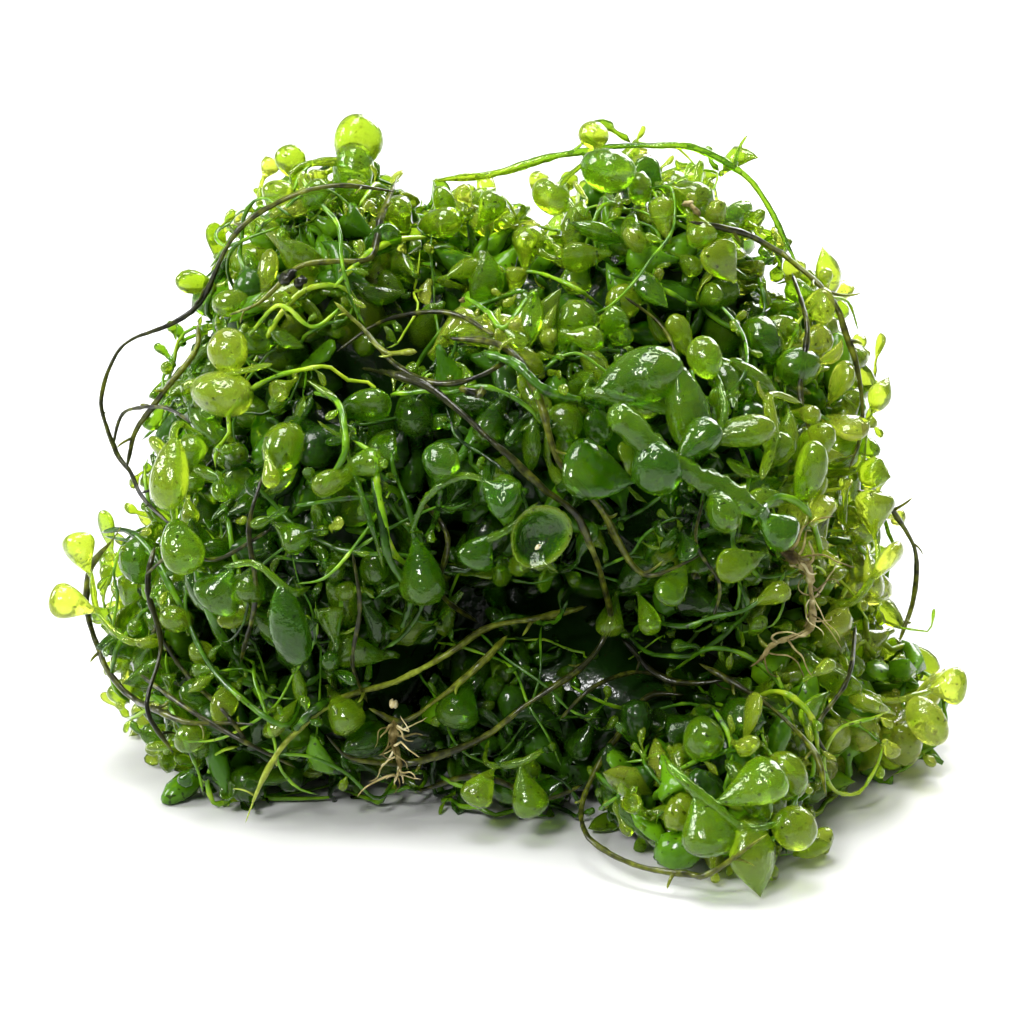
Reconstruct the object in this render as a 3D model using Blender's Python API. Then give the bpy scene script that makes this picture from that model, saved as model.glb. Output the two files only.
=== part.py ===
"""Grape caulerpa: a drained handful of the seaweed, heaped on a flat surface.

The heap is laid up from the inside out. Tufts, the dense bunches of grape-bearing fronds, make its
mass and stand flat on the surface. Fronds with large bladders lie on the tufts. Roots and runners,
the creeping stems, wind over both. Each piece rests on those laid before it, with a small gap.

Metres, +Z up. The origin is on the surface that the heap stands on, under its middle. +X is the
right and -Y the front.
"""

import math

import bmesh
import bpy
import numpy as np
from mathutils import Matrix, Vector
from mathutils.bvhtree import BVHTree

MM = 0.001

GAP = 0.4 * MM

# The lumps and facets of a tuft. Crowding above 1 puts more of its facets on the side that shows.
LUMP_PITCH = 8.5 * MM
LUMP_HEIGHT = 2.0 * MM
LUMP_SPREAD = 0.62
FACET_PITCH = 5.8 * MM
OUTWARD_CROWDING = 1.45
LEAST_DIRECTIONS = 70
HEXAGON_SHARE = 0.87

BLADDER_SIDES = 6
BLADDER_RINGS = 4
TIP_FULLNESS = 0.18
STALK_RADIUS = 0.6 * MM
STALK_STEP = 3.0 * MM
RUNNER_RADIUS = 0.7 * MM
ROOT_RADIUS = 0.8 * MM
RUNNER_STEP = 5.0 * MM

# How a piece is laid: it is checked every CHECK_STEP and moved LIFT at a time. After FREE_LIFTS
# moves away from what it touches, it only moves straight out of the heap.
CHECK_STEP = 1.5 * MM
LIFT = 0.4 * MM
MOST_LIFTS = 90
FREE_LIFTS = 40
NEAR_SHARE = 0.75
FLOOR_GAP = 0.2 * MM
NUDGE = 0.01 * MM
LEAST_COSINE = 1e-6

HEAP_MIDDLE = Vector((0.0, 4.0, 26.0)) * MM
OUTWARD_FLATNESS = 0.8
SHARP_ANGLE = math.radians(60)

# Each tuft: its middle and how far it reaches along X, Y and Z, in millimetres.
TUFTS = {
    "tuft_base": ((3, 0, 14), (32, 26, 30)),
    "tuft_crown_left": ((-23, 4, 57), (13.5, 17, 15)),
    "tuft_crown_middle": ((-4, 9, 52), (15, 18, 17)),
    "tuft_crown_right": ((17, 6, 58), (16.5, 18, 15.5)),
    "tuft_shoulder_left": ((-34, 1, 37), (10.5, 18, 17)),
    "tuft_shoulder_right": ((31, 4, 42), (13, 19, 20)),
    "tuft_flank_left": ((-38, -2, 17), (12, 18, 20)),
    "tuft_flank_right": ((35, 0, 19), (13, 19, 22)),
    "tuft_front_left": ((-22, -16, 32), (17, 15, 21)),
    "tuft_front_middle": ((2, -16, 42), (19, 16, 19)),
    "tuft_front_right": ((23, -15, 34), (16, 15, 20)),
    "tuft_skirt_left": ((-25, -14, 9), (21, 15, 13)),
    "tuft_skirt_middle": ((3, -15, 9), (19, 15, 14)),
    "tuft_skirt_right": ((31, -16, 10), (15, 14, 14)),
    "tuft_foot": ((23, -34, 6), (12, 12, 10)),
    "tuft_toe": ((45, -8, 7), (8, 9, 8)),
    "tuft_back_left": ((-25, 24, 22), (22, 19, 29)),
    "tuft_back_middle": ((-1, 30, 28), (17, 16, 33)),
    "tuft_back_right": ((25, 25, 23), (21, 19, 30)),
}

# Each frond: the route of its stalk, and each bladder's foot, tip and width, in millimetres.
FRONDS = {
    "frond_peak": (
        ((-26, 1, 72), (-22, 3, 73), (-18, 4, 72)),
        (((-18, 4, 72), (-18, 6, 78), 6.4), ((-25, 2, 72), (-28, 3, 75), 4.0)),
    ),
    "frond_crown_right": (
        ((5, -5, 70), (8, -1, 72), (9, 3, 73)),
        (((9, 3, 73), (10, 4, 76), 4.0), ((6, -4, 70), (3, -8, 69), 4.8), ((8, -1, 72), (14, -5, 72), 5.4)),
    ),
    "frond_twin": (
        ((8, -28, 53), (14, -29, 52), (20, -28, 50)),
        (((9, -28, 53), (20, -27, 56), 7.0), ((13, -29, 52), (21, -27, 48), 6.4)),
    ),
    "frond_arm": (
        ((9, -31, 51), (13, -31, 47), (19, -30, 43), (26, -31, 39)),
        (
            ((12, -31, 48), (14, -32, 42), 5.6),
            ((15, -30, 45), (20, -27, 49), 4.6),
            ((20, -31, 42), (22, -33, 38), 4.2),
            ((25, -31, 40), (29, -30, 36), 4.4),
        ),
    ),
    "frond_oval": (
        ((21, -28, 46), (23, -26, 50), (22, -21, 54)),
        (((21, -27, 47), (29, -26, 48), 4.6), ((22, -22, 53), (21, -18, 58), 4.6)),
    ),
    "frond_teardrop": (
        ((-11, -29, 37), (-9, -31, 42), (-5, -33, 45), (-1, -34, 44)),
        (
            ((-11, -29, 37), (-10, -29, 28), 5.8),
            ((-8, -31, 43), (-7, -33, 48), 4.8),
            ((-3, -34, 45), (1, -35, 42), 4.6),
        ),
    ),
    "frond_cup": (
        ((-3, -32, 37), (0, -33, 39), (3, -33, 42)),
        (((1, -33, 40), (4, -36, 36), 6.0), ((-2, -32, 38), (-5, -32, 34), 4.4)),
    ),
    "frond_low_left": (
        ((-23, -31, 31), (-27, -30, 34), (-31, -28, 33)),
        (((-24, -31, 32), (-22, -31, 22), 4.8), ((-30, -28, 33), (-33, -27, 28), 5.8)),
    ),
    "frond_left_bright": (
        ((-35, -21, 47), (-35, -24, 41), (-35, -26, 35)),
        (((-35, -22, 46), (-36, -25, 38), 5.2), ((-35, -25, 37), (-33, -27, 31), 4.8)),
    ),
    "frond_left_block": (
        ((-37, -16, 50), (-32, -18, 52), (-26, -20, 54)),
        (((-36, -16, 50), (-29, -20, 50), 6.0), ((-32, -17, 52), (-32, -15, 57), 4.6)),
    ),
    "frond_left_tip": (
        ((-44, -16, 19), (-48, -14, 22), (-49, -12, 27)),
        (((-48, -14, 22), (-54, -12, 23), 4.6), ((-49, -12, 26), (-51, -10, 31), 4.2)),
    ),
    "frond_right_lime": (
        ((41, -17, 24), (44, -16, 28), (44, -14, 32)),
        (((43, -16, 26), (47, -15, 31), 5.4), ((44, -14, 31), (44, -13, 37), 4.8)),
    ),
    "frond_right_horned": (
        ((42, -10, 39), (43, -8, 43), (44, -6, 46)),
        (((44, -7, 45), (46, -5, 49), 4.4), ((42, -10, 39), (46, -11, 38), 4.2)),
    ),
    "frond_toe": (
        ((45, -18, 12), (49, -16, 12), (51, -14, 12)),
        (((50, -15, 12), (55, -13, 12), 4.6), ((48, -17, 12), (52, -19, 7), 4.6)),
    ),
    "frond_foot": (
        ((17, -44, 15), (21, -46, 12), (25, -46, 9), (29, -44, 9)),
        (
            ((19, -45, 14), (21, -47, 7), 6.6),
            ((21, -46, 12), (28, -44, 15), 5.4),
            ((25, -46, 9), (26, -47, 2), 5.0),
            ((28, -44, 9), (33, -43, 7), 4.8),
        ),
    ),
    "frond_front_low": (
        ((-3, -30, 9), (1, -32, 10), (5, -31, 12)),
        (((1, -32, 10), (3, -34, 4), 4.6), ((-2, -31, 9), (-5, -33, 5), 4.4)),
    ),
    "frond_back_left": (
        ((-28, 38, 46), (-24, 41, 40), (-21, 42, 34)),
        (((-27, 39, 45), (-21, 41, 47), 5.6), ((-24, 41, 40), (-29, 43, 35), 5.2)),
    ),
    "frond_back_right": (
        ((2, 38, 56), (5, 42, 50), (6, 45, 43)),
        (((3, 39, 54), (9, 37, 57), 5.4), ((6, 44, 46), (2, 47, 40), 5.4)),
    ),
}

# Each runner's route, in millimetres, from its older end to its growing tip.
RUNNERS = {
    "runner_long": (
        (-18, -12, 52), (-12, -22, 53), (-5, -29, 51), (1, -33, 46), (6, -33, 42), (9, -31, 36),
        (11, -28, 29), (11, -26, 24), (8, -28, 20), (2, -30, 16), (-5, -30, 11), (-13, -29, 8),
        (-19, -30, 9), (-22, -30, 12),
    ),
    "runner_olive": (
        (-7, -22, 58), (-1, -26, 58), (3, -29, 53), (5, -32, 47), (9, -32, 42), (12, -29, 36),
        (16, -30, 32), (22, -31, 35),
    ),
    "runner_diagonal": (
        (9, -21, 25), (3, -22, 24), (-3, -22, 22), (-9, -23, 20), (-15, -25, 18), (-20, -28, 16),
        (-26, -30, 12), (-29, -31, 8), (-31, -30, 3),
    ),
    "runner_lower": ((0, -21, 21), (-3, -26, 19), (-8, -28, 16), (-13, -28, 13), (-17, -29, 15)),
    "runner_left_loop": (
        (-14, -5, 72), (-22, -7, 73), (-30, -7, 70), (-35, -6, 64), (-38, -4, 58), (-42, -3, 55),
        (-48, -3, 52), (-50, -4, 47), (-49, -5, 40), (-44, -9, 35), (-40, -14, 33),
    ),
    "runner_left_strand": ((-38, -6, 56), (-38, -7, 52), (-41, -8, 47), (-45, -7, 43), (-47, -8, 38)),
    "runner_left_outer": (
        (-49, -11, 30), (-52, -8, 25), (-52, -9, 18), (-50, -12, 14), (-45, -17, 11), (-38, -25, 12),
        (-30, -29, 13),
    ),
    "runner_left_low": ((-43, -16, 31), (-44, -18, 26), (-42, -20, 20), (-41, -22, 14), (-39, -25, 9)),
    "runner_crown_swirl": (
        (-14, 3, 72), (-16, -5, 68), (-17, -10, 65), (-25, -12, 64), (-30, -12, 60), (-34, -10, 58),
    ),
    "runner_crown_arch": (
        (-10, 8, 70), (-3, 11, 70), (3, 8, 73), (10, 5, 75), (18, 3, 76), (26, 3, 74), (31, 3, 68),
        (35, 3, 61),
    ),
    "runner_right_dark": (
        (21, -8, 69), (28, -6, 67), (34, -1, 62), (38, -4, 57), (41, -7, 50), (42, -9, 44),
        (41, -12, 39),
    ),
    "runner_right_hook": ((42, -10, 36), (47, -6, 32), (50, -4, 26), (50, -5, 20), (48, -9, 16)),
    "runner_right": ((13, -24, 22), (17, -24, 18), (22, -26, 17), (27, -27, 18)),
    "runner_foot_loop": (
        (21, -26, 17), (16, -25, 15), (13, -28, 12), (10, -31, 9), (8, -37, 6), (10, -43, 4),
        (15, -48, 3), (20, -50, 3), (24, -51, 4), (28, -50, 8),
    ),
    "runner_foot_right": ((22, -27, 20), (27, -30, 18), (32, -36, 16), (35, -41, 14), (36, -44, 10)),
    "runner_free_end": ((-21, -15, 61), (-18, -15, 58), (-15, -18, 56), (-11, -23, 57)),
    "runner_green_stem": ((-24, -21, 53), (-20, -25, 51), (-19, -27, 46), (-17, -30, 40), (-15, -31, 33)),
    "runner_green_hook": ((28, -28, 43), (28, -26, 48), (30, -23, 52), (34, -20, 50)),
    "runner_back_left": ((-18, 22, 58), (-28, 30, 48), (-35, 34, 36), (-32, 40, 24), (-22, 42, 14)),
    "runner_back_right": (
        (12, 22, 66), (20, 32, 56), (30, 36, 44), (28, 42, 32), (16, 45, 24), (4, 45, 14),
    ),
}

# Each root's route, in millimetres.
ROOTS = {
    "root_long": ((28, -28, 20), (31, -26, 23), (34, -23, 26), (34, -26, 31), (31, -29, 35)),
    "root_short": ((-14, -30, 14), (-13, -31, 10), (-14, -31, 6)),
}


def start_empty_scene():
    """Removes every object that the file starts with."""
    for obj in list(bpy.data.objects):
        bpy.data.objects.remove(obj)


def finish(name, colour, roughness):
    """A plain finish of one piece: its colour as linear red, green and blue, and its roughness."""
    material = bpy.data.materials.new(name)
    material.use_nodes = True
    shader = material.node_tree.nodes["Principled BSDF"]
    shader.inputs["Base Color"].default_value = (*colour, 1.0)
    shader.inputs["Roughness"].default_value = roughness
    shader.inputs["Metallic"].default_value = 0.0
    material.diffuse_color = (*colour, 1.0)
    return material


def place(name, mesh, material):
    """Puts a mesh into the scene as a named object, shaded smooth."""
    mesh.materials.clear()
    mesh.materials.append(material)
    mesh.shade_smooth()
    mesh.set_sharp_from_angle(angle=SHARP_ANGLE)
    obj = bpy.data.objects.new(name, mesh)
    bpy.context.scene.collection.objects.link(obj)
    return obj


def millimetres(points):
    """The points, which are in millimetres, as rows in metres."""
    return np.array(points, float) * MM


def even_directions(count, crowding=1.0):
    """Unit directions spread over a sphere on a spiral, crowded towards +Z where crowding is over 1."""
    index = np.arange(count) + 0.5
    height = 1.0 - 2.0 * (index / count) ** crowding
    turn = index * math.pi * (3.0 - math.sqrt(5.0))
    ring = np.sqrt(1.0 - height**2)
    return np.column_stack([ring * np.cos(turn), ring * np.sin(turn), height])


def turned_towards(directions, axis):
    """The directions with +Z turned to axis."""
    turn = Vector((0, 0, 1)).rotation_difference(Vector(axis)).to_matrix()
    return directions @ np.array(turn).T


def ellipsoid_norm(offset, reach):
    """How far out an offset lies, counted in the ellipsoid's own reach: 1 is on its surface."""
    return np.linalg.norm(offset / reach, axis=-1)


def lumps(directions, radius, seed):
    """The height of the grape-like lumps in each direction: round caps spread evenly over the tuft."""
    pitch = LUMP_PITCH / radius
    count = int(4.0 * math.pi / (HEXAGON_SHARE * pitch**2))
    start = np.random.default_rng(seed).normal(size=3)
    tops = turned_towards(even_directions(count), start)
    angle = np.arccos(np.clip(directions @ tops.T, -1.0, 1.0))
    cap = np.sqrt(np.clip(1.0 - (angle / (LUMP_SPREAD * pitch)) ** 2, 0.0, 1.0))
    return LUMP_HEIGHT * cap.max(axis=1)


def hull_topology(name, directions, points):
    """A closed mesh of the points, joined as their directions are joined on the sphere."""
    shape = bmesh.new()
    for direction in directions:
        shape.verts.new(direction)
    shape.verts.index_update()
    bmesh.ops.convex_hull(shape, input=shape.verts)
    shape.verts.ensure_lookup_table()
    for vert, point in zip(shape.verts, points):
        vert.co = point
    bmesh.ops.recalc_face_normals(shape, faces=shape.faces)
    mesh = bpy.data.meshes.new(name)
    shape.to_mesh(mesh)
    shape.free()
    return mesh


def tuft_mesh(name):
    """One tuft: an ellipsoid with grape-like lumps, flat where it meets the surface or another tuft.

    The plane between two tufts crosses the line between their middles where both are as far out,
    each counted in its own reach. Every tuft stays half a gap behind that plane.
    """
    middle, reach = (millimetres(row) for row in TUFTS[name])
    radius = float(np.cbrt(np.prod(reach)))
    count = int(4.0 * math.pi * radius**2 / (HEXAGON_SHARE * FACET_PITCH**2))
    count = max(LEAST_DIRECTIONS, count)
    outward = middle - np.array(HEAP_MIDDLE)
    directions = turned_towards(even_directions(count, OUTWARD_CROWDING), outward)
    out = 1.0 / ellipsoid_norm(directions, reach)
    out += lumps(directions, radius, seed=list(TUFTS).index(name)) - 0.5 * LUMP_HEIGHT
    for other, (other_middle, other_reach) in TUFTS.items():
        if other == name:
            continue
        apart = millimetres(other_middle) - middle
        theirs = ellipsoid_norm(apart, millimetres(other_reach))
        share = theirs / (theirs + ellipsoid_norm(apart, reach))
        distance = np.linalg.norm(apart)
        facing = directions @ (apart / distance)
        limit = (share * distance - 0.5 * GAP) / np.maximum(facing, LEAST_COSINE)
        out = np.where(facing > LEAST_COSINE, np.minimum(out, limit), out)
    down = np.maximum(-directions[:, 2], LEAST_COSINE)
    out = np.where(directions[:, 2] < 0, np.minimum(out, middle[2] / down), out)
    return hull_topology(name, directions, middle + directions * out[:, None])


def along(points, step):
    """Points about a step apart on a smooth curve through the given ones, ends included."""
    points = np.asarray(points)
    before = np.vstack([2.0 * points[0] - points[1], points[:-1]])
    after = np.vstack([points[1:], 2.0 * points[-1] - points[-2]])
    tangents = 0.5 * (after - before)
    rows = []
    for start, end, leave, arrive in zip(points, points[1:], tangents, tangents[1:]):
        pieces = max(1, round(float(np.linalg.norm(end - start)) / step))
        t = (np.arange(pieces) / pieces)[:, None]
        rows.append(
            (2 * t**3 - 3 * t**2 + 1) * start
            + (t**3 - 2 * t**2 + t) * leave
            + (3 * t**2 - 2 * t**3) * end
            + (t**3 - t**2) * arrive
        )
    return np.vstack([*rows, points[-1:]])


def tube_mesh(name, points, radius):
    """A closed round tube along the points."""
    curve = bpy.data.curves.new(name, "CURVE")
    curve.dimensions = "3D"
    curve.bevel_depth = radius
    curve.bevel_resolution = 1
    curve.use_fill_caps = True
    spline = curve.splines.new("POLY")
    spline.points.add(len(points) - 1)
    spline.points.foreach_set("co", np.column_stack([points, np.ones(len(points))]).ravel())
    guide = bpy.data.objects.new(name + "_route", curve)
    bpy.context.scene.collection.objects.link(guide)
    mesh = bpy.data.meshes.new_from_object(guide.evaluated_get(bpy.context.evaluated_depsgraph_get()))
    bpy.data.objects.remove(guide)
    return welded(mesh)


def welded(mesh):
    """The mesh with the points of its caps and its sides made one."""
    shape = bmesh.new()
    shape.from_mesh(mesh)
    bmesh.ops.remove_doubles(shape, verts=shape.verts, dist=NUDGE)
    bmesh.ops.recalc_face_normals(shape, faces=shape.faces)
    shape.to_mesh(mesh)
    shape.free()
    return mesh


def bladder_mesh(foot, tip, width):
    """One bladder: a ball drawn out from its foot to its tip, fuller towards the tip."""
    axis = Vector(tip) - Vector(foot)
    shape = bmesh.new()
    bmesh.ops.create_uvsphere(shape, u_segments=BLADDER_SIDES, v_segments=BLADDER_RINGS, radius=1.0)
    turn = Vector((0, 0, 1)).rotation_difference(axis).to_matrix()
    middle = (Vector(foot) + Vector(tip)) / 2.0
    for vert in shape.verts:
        x, y, z = vert.co
        fuller = 0.5 * width * (1.0 + TIP_FULLNESS * z)
        vert.co = middle + turn @ Vector((fuller * x, fuller * y, 0.5 * axis.length * z))
    mesh = bpy.data.meshes.new("bladder")
    shape.to_mesh(mesh)
    shape.free()
    return mesh


def fused(name, meshes):
    """The first mesh with the others joined to it in one solid."""
    others = bpy.data.collections.new(name + "_others")
    bpy.context.scene.collection.children.link(others)
    first = bpy.data.objects.new(name + "_first", meshes[0])
    bpy.context.scene.collection.objects.link(first)
    for mesh in meshes[1:]:
        others.objects.link(bpy.data.objects.new(name + "_other", mesh))
    union = first.modifiers.new("union", "BOOLEAN")
    union.operation = "UNION"
    union.operand_type = "COLLECTION"
    union.collection = others
    union.solver = "EXACT"
    mesh = bpy.data.meshes.new_from_object(first.evaluated_get(bpy.context.evaluated_depsgraph_get()))
    for obj in [first, *others.objects]:
        bpy.data.objects.remove(obj)
    bpy.data.collections.remove(others)
    mesh.name = name
    return mesh


def frond_mesh(name):
    """One frond: its stalk with its bladders grown onto it, each from the nearest point of the stalk."""
    route, bladders = FRONDS[name]
    stalk = along(millimetres(route), STALK_STEP)
    parts = [tube_mesh(name, stalk, STALK_RADIUS)]
    for foot, tip, width in bladders:
        nearest = stalk[np.linalg.norm(stalk - millimetres(foot), axis=1).argmin()]
        lean = millimetres(tip) - nearest
        sunk = nearest - lean / np.linalg.norm(lean) * STALK_RADIUS
        parts.append(bladder_mesh(sunk, millimetres(tip), width * MM))
    return fused(name, parts)


class Heap:
    """The pieces laid so far, as one surface that the next piece is laid on."""

    def __init__(self):
        self.points = []
        self.faces = []
        self.tree = None

    def add(self, mesh):
        """Lays a mesh on the heap for good."""
        first = len(self.points)
        self.points.extend(vert.co.copy() for vert in mesh.vertices)
        mesh.calc_loop_triangles()
        self.faces.extend([first + corner for corner in face.vertices] for face in mesh.loop_triangles)
        self.tree = BVHTree.FromPolygons(self.points, self.faces)

    def holds(self, point):
        """Whether a point is inside a piece: the way straight out then crosses the surface an odd
        number of times."""
        outward = outward_from(point)
        crossings = 0
        hit = self.tree.ray_cast(point, outward)[0]
        while hit is not None:
            crossings += 1
            hit = self.tree.ray_cast(hit + outward * NUDGE, outward)[0]
        return crossings % 2 == 1

    def push(self, point, room):
        """The move that gives a point its room: straight out from inside a piece, away from the
        nearest surface outside it. It is zero where the point has its room already."""
        if self.holds(point):
            return outward_from(point) * LIFT
        nearest, _, _, distance = self.tree.find_nearest(point)
        if distance >= room:
            return Vector()
        return (point - nearest).normalized() * (room - distance + NUDGE)

    def touched_by(self, mesh):
        """The middles of the mesh's triangles that cross the heap's surface."""
        mesh.calc_loop_triangles()
        points = [vert.co.copy() for vert in mesh.vertices]
        faces = [list(face.vertices) for face in mesh.loop_triangles]
        pairs = BVHTree.FromPolygons(points, faces).overlap(self.tree)
        return [sum((points[i] for i in faces[own]), Vector()) / 3.0 for own, _ in pairs]


def outward_from(point):
    """The direction straight out of the heap at a point."""
    away = Vector(point) - HEAP_MIDDLE
    away.z *= OUTWARD_FLATNESS
    return away.normalized()


def laid_frond(name, heap):
    """A frond's mesh, moved straight out until it lies clear on the heap."""
    mesh = frond_mesh(name)
    middle = sum((vert.co for vert in mesh.vertices), Vector()) / len(mesh.vertices)
    step = outward_from(middle) * LIFT
    for _ in range(MOST_LIFTS):
        blocked = any(heap.push(vert.co, NEAR_SHARE * GAP).length > 0 for vert in mesh.vertices)
        if not blocked and not heap.touched_by(mesh):
            break
        mesh.transform(Matrix.Translation(step))
    return mesh


def laid_tube(name, route, radius, heap):
    """A tube along a route, moved point by point until it lies clear on the heap and the floor.

    Where the nearest surfaces only push it to and fro, it is moved straight out in the end.
    """
    points = along(millimetres(route), RUNNER_STEP)
    for attempt in range(MOST_LIFTS):
        dense = along(points, CHECK_STEP)
        pushes = np.array([heap.push(Vector(row), radius + GAP) for row in dense])
        if attempt > FREE_LIFTS:
            straight = np.array([outward_from(row) for row in dense]) * LIFT
            pushes = np.where(pushes.any(axis=1)[:, None], straight, 0.0)
        touched = [] if pushes.any() else heap.touched_by(tube_mesh(name, points, radius))
        for spot in touched:
            row = np.linalg.norm(dense - np.array(spot), axis=1).argmin()
            pushes[row] = outward_from(dense[row]) * LIFT
        if not pushes.any():
            break
        apart = np.linalg.norm(points[:, None] - dense[None], axis=2)
        sizes = np.linalg.norm(pushes, axis=1)
        near = apart < np.maximum(NEAR_SHARE * RUNNER_STEP, apart.min(axis=0) + NUDGE)
        strength = np.where(near, sizes[None], 0.0)
        points = points + pushes[strength.argmax(axis=1)] * (strength.max(axis=1) > 0)[:, None]
        points[:, 2] = np.maximum(points[:, 2], radius + FLOOR_GAP)
    return tube_mesh(name, points, radius)


def main():
    start_empty_scene()
    frond_green = finish("frond_green", (0.035, 0.16, 0.02), 0.25)
    bladder_green = finish("bladder_green", (0.08, 0.26, 0.02), 0.2)
    runner_olive = finish("runner_olive", (0.05, 0.06, 0.015), 0.35)
    root_tan = finish("root_tan", (0.35, 0.27, 0.12), 0.6)
    heap = Heap()
    for name in TUFTS:
        mesh = tuft_mesh(name)
        heap.add(mesh)
        place(name, mesh, frond_green)
    for name in FRONDS:
        mesh = laid_frond(name, heap)
        heap.add(mesh)
        place(name, mesh, bladder_green)
    stems = ((RUNNERS, RUNNER_RADIUS, runner_olive), (ROOTS, ROOT_RADIUS, root_tan))
    for routes, radius, material in stems:
        for name, route in routes.items():
            mesh = laid_tube(name, route, radius, heap)
            heap.add(mesh)
            place(name, mesh, material)


main()
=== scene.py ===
"""Looks of the grape caulerpa: a drained, glistening handful of the seaweed on a pale floor.

Every bladder, stalk and runner is a closed tube whose profile of radii is carried along a path. The
tubes of one tuft are joined in one mesh, which stands for that tuft's plain solid.
"""

from __future__ import annotations

import logging
import math
from dataclasses import dataclass, field
from enum import Enum

import bpy
import numpy as np
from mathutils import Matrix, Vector
from mathutils.bvhtree import BVHTree


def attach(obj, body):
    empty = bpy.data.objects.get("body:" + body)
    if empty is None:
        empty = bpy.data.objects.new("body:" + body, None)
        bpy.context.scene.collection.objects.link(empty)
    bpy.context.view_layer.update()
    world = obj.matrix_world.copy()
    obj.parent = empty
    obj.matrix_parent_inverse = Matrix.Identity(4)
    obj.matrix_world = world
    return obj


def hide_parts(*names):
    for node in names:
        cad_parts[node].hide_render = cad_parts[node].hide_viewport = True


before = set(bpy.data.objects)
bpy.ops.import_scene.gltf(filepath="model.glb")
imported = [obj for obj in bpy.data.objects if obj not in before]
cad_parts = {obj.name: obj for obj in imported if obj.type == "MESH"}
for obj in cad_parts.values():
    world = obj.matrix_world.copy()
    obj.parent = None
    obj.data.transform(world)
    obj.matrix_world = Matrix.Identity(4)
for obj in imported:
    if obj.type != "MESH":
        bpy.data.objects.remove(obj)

MM = 0.001
BODY = "root"
HEAP_MIDDLE = (0.0, 4.0 * MM, 26.0 * MM)

Array = np.ndarray
Rng = np.random.Generator
Tree = bpy.types.NodeTree
Socket = bpy.types.NodeSocket
Material = bpy.types.Material
Object = bpy.types.Object
Stops = tuple[tuple[float, str], ...]
Place = tuple[float, float, float]

log = logging.getLogger("grape_caulerpa")


def linear(code: str) -> tuple[float, float, float, float]:
    """Gives the linear colour of an sRGB hex code.

    Args:
        code: Six hex digits, such as "4d7a1c".

    Returns:
        Linear red, green, blue and an alpha of 1.
    """
    parts = [int(code[i : i + 2], 16) / 255.0 for i in (0, 2, 4)]
    curve = [c / 12.92 if c <= 0.04045 else ((c + 0.055) / 1.055) ** 2.4 for c in parts]
    return (*curve, 1.0)


def add_node(
    tree: Tree,
    kind: str,
    settings: dict[str | int, object] | None = None,
    links: dict[str | int, Socket] | None = None,
    ramp: Stops = (),
) -> bpy.types.Node:
    """Adds a node to a tree.

    Args:
        tree: The material's or world's node tree.
        kind: The node's type name.
        settings: Values by the name of a node property, or else by the name or index of an input.
        links: Output sockets by the name or index of the input that each one feeds.
        ramp: Stops of a colour ramp, as places and sRGB hex colours.

    Returns:
        The new node.
    """
    node = tree.nodes.new(kind)
    for key, value in (settings or {}).items():
        if isinstance(key, str) and hasattr(node, key):
            setattr(node, key, value)
        else:
            node.inputs[key].default_value = value
    for key, socket in (links or {}).items():
        tree.links.new(socket, node.inputs[key])
    if ramp:
        stops = node.color_ramp.elements
        for place, code in ramp[len(stops) :]:
            stops.new(place)
        for stop, (place, code) in zip(stops, ramp):
            stop.position, stop.color = place, linear(code)
    return node


@dataclass(frozen=True)
class Shift:
    """A noise that makes a finish riper here and less there: its width, detail and depth."""

    width: float
    detail: float
    depth: float


@dataclass(frozen=True)
class WetFinish:
    """Something grown under a film of sea water, whose colour follows the attribute ripeness.

    The colour is read off the stops at ripeness + the sum of depth (noise - 1/2) over the shifts.
    On the bladders and stems, ripeness also holds painted glow and painted shade.
    The film is the shader's coat, with the IOR of water, and gives sharp highlights, which a fine
    ripple breaks up. Roughness and IOR are those of what lies under it.
    """

    name: str
    stops: Stops
    shifts: tuple[Shift, ...]
    roughness: float
    ior: float
    film: float
    film_roughness: float
    ripple_width: float
    ripple_height: float
    film_ior: float = 1.33

    def build(self) -> Material:
        """Makes the material.

        Returns:
            The new material.
        """
        material = bpy.data.materials.new(self.name)
        material.use_nodes = True
        tree = material.node_tree
        shader = tree.nodes["Principled BSDF"]
        place = add_node(tree, "ShaderNodeTexCoord").outputs["Object"]
        tone = add_node(tree, "ShaderNodeAttribute", {"attribute_name": "ripeness"}).outputs["Fac"]
        for shift in self.shifts:
            scale = {"Scale": 1.0 / shift.width, "Detail": shift.detail}
            noise = add_node(tree, "ShaderNodeTexNoise", scale, {"Vector": place}).outputs["Fac"]
            centred = {"operation": "MULTIPLY_ADD", 1: shift.depth, 2: -0.5 * shift.depth}
            more = add_node(tree, "ShaderNodeMath", centred, {0: noise}).outputs[0]
            tone = add_node(tree, "ShaderNodeMath", {"operation": "ADD"}, {0: tone, 1: more}).outputs[0]
        colour = add_node(tree, "ShaderNodeValToRGB", links={"Fac": tone}, ramp=self.stops).outputs["Color"]
        scale = {"Scale": 1.0 / self.ripple_width, "Detail": 2.0}
        ripple = add_node(tree, "ShaderNodeTexNoise", scale, {"Vector": place}).outputs["Fac"]
        height = {"Distance": self.ripple_height, "Strength": 1.0}
        bump = add_node(tree, "ShaderNodeBump", height, {"Height": ripple}).outputs["Normal"]
        tree.links.new(self.marked(tree, place, colour), shader.inputs["Base Color"])
        tree.links.new(bump, shader.inputs["Normal"])
        tree.links.new(bump, shader.inputs["Coat Normal"])
        for name, value in self.constants().items():
            shader.inputs[name].default_value = value
        return material

    def marked(self, tree: Tree, place: Socket, colour: Socket) -> Socket:
        """Gives the colour with the finish's marks on it, here none."""
        return colour

    def constants(self) -> dict[str, float | Place]:
        """Gives the values of the shader's own sockets by their names."""
        return {
            "Roughness": self.roughness,
            "IOR": self.ior,
            "Coat Weight": self.film,
            "Coat Roughness": self.film_roughness,
            "Coat IOR": self.film_ior,
        }


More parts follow.
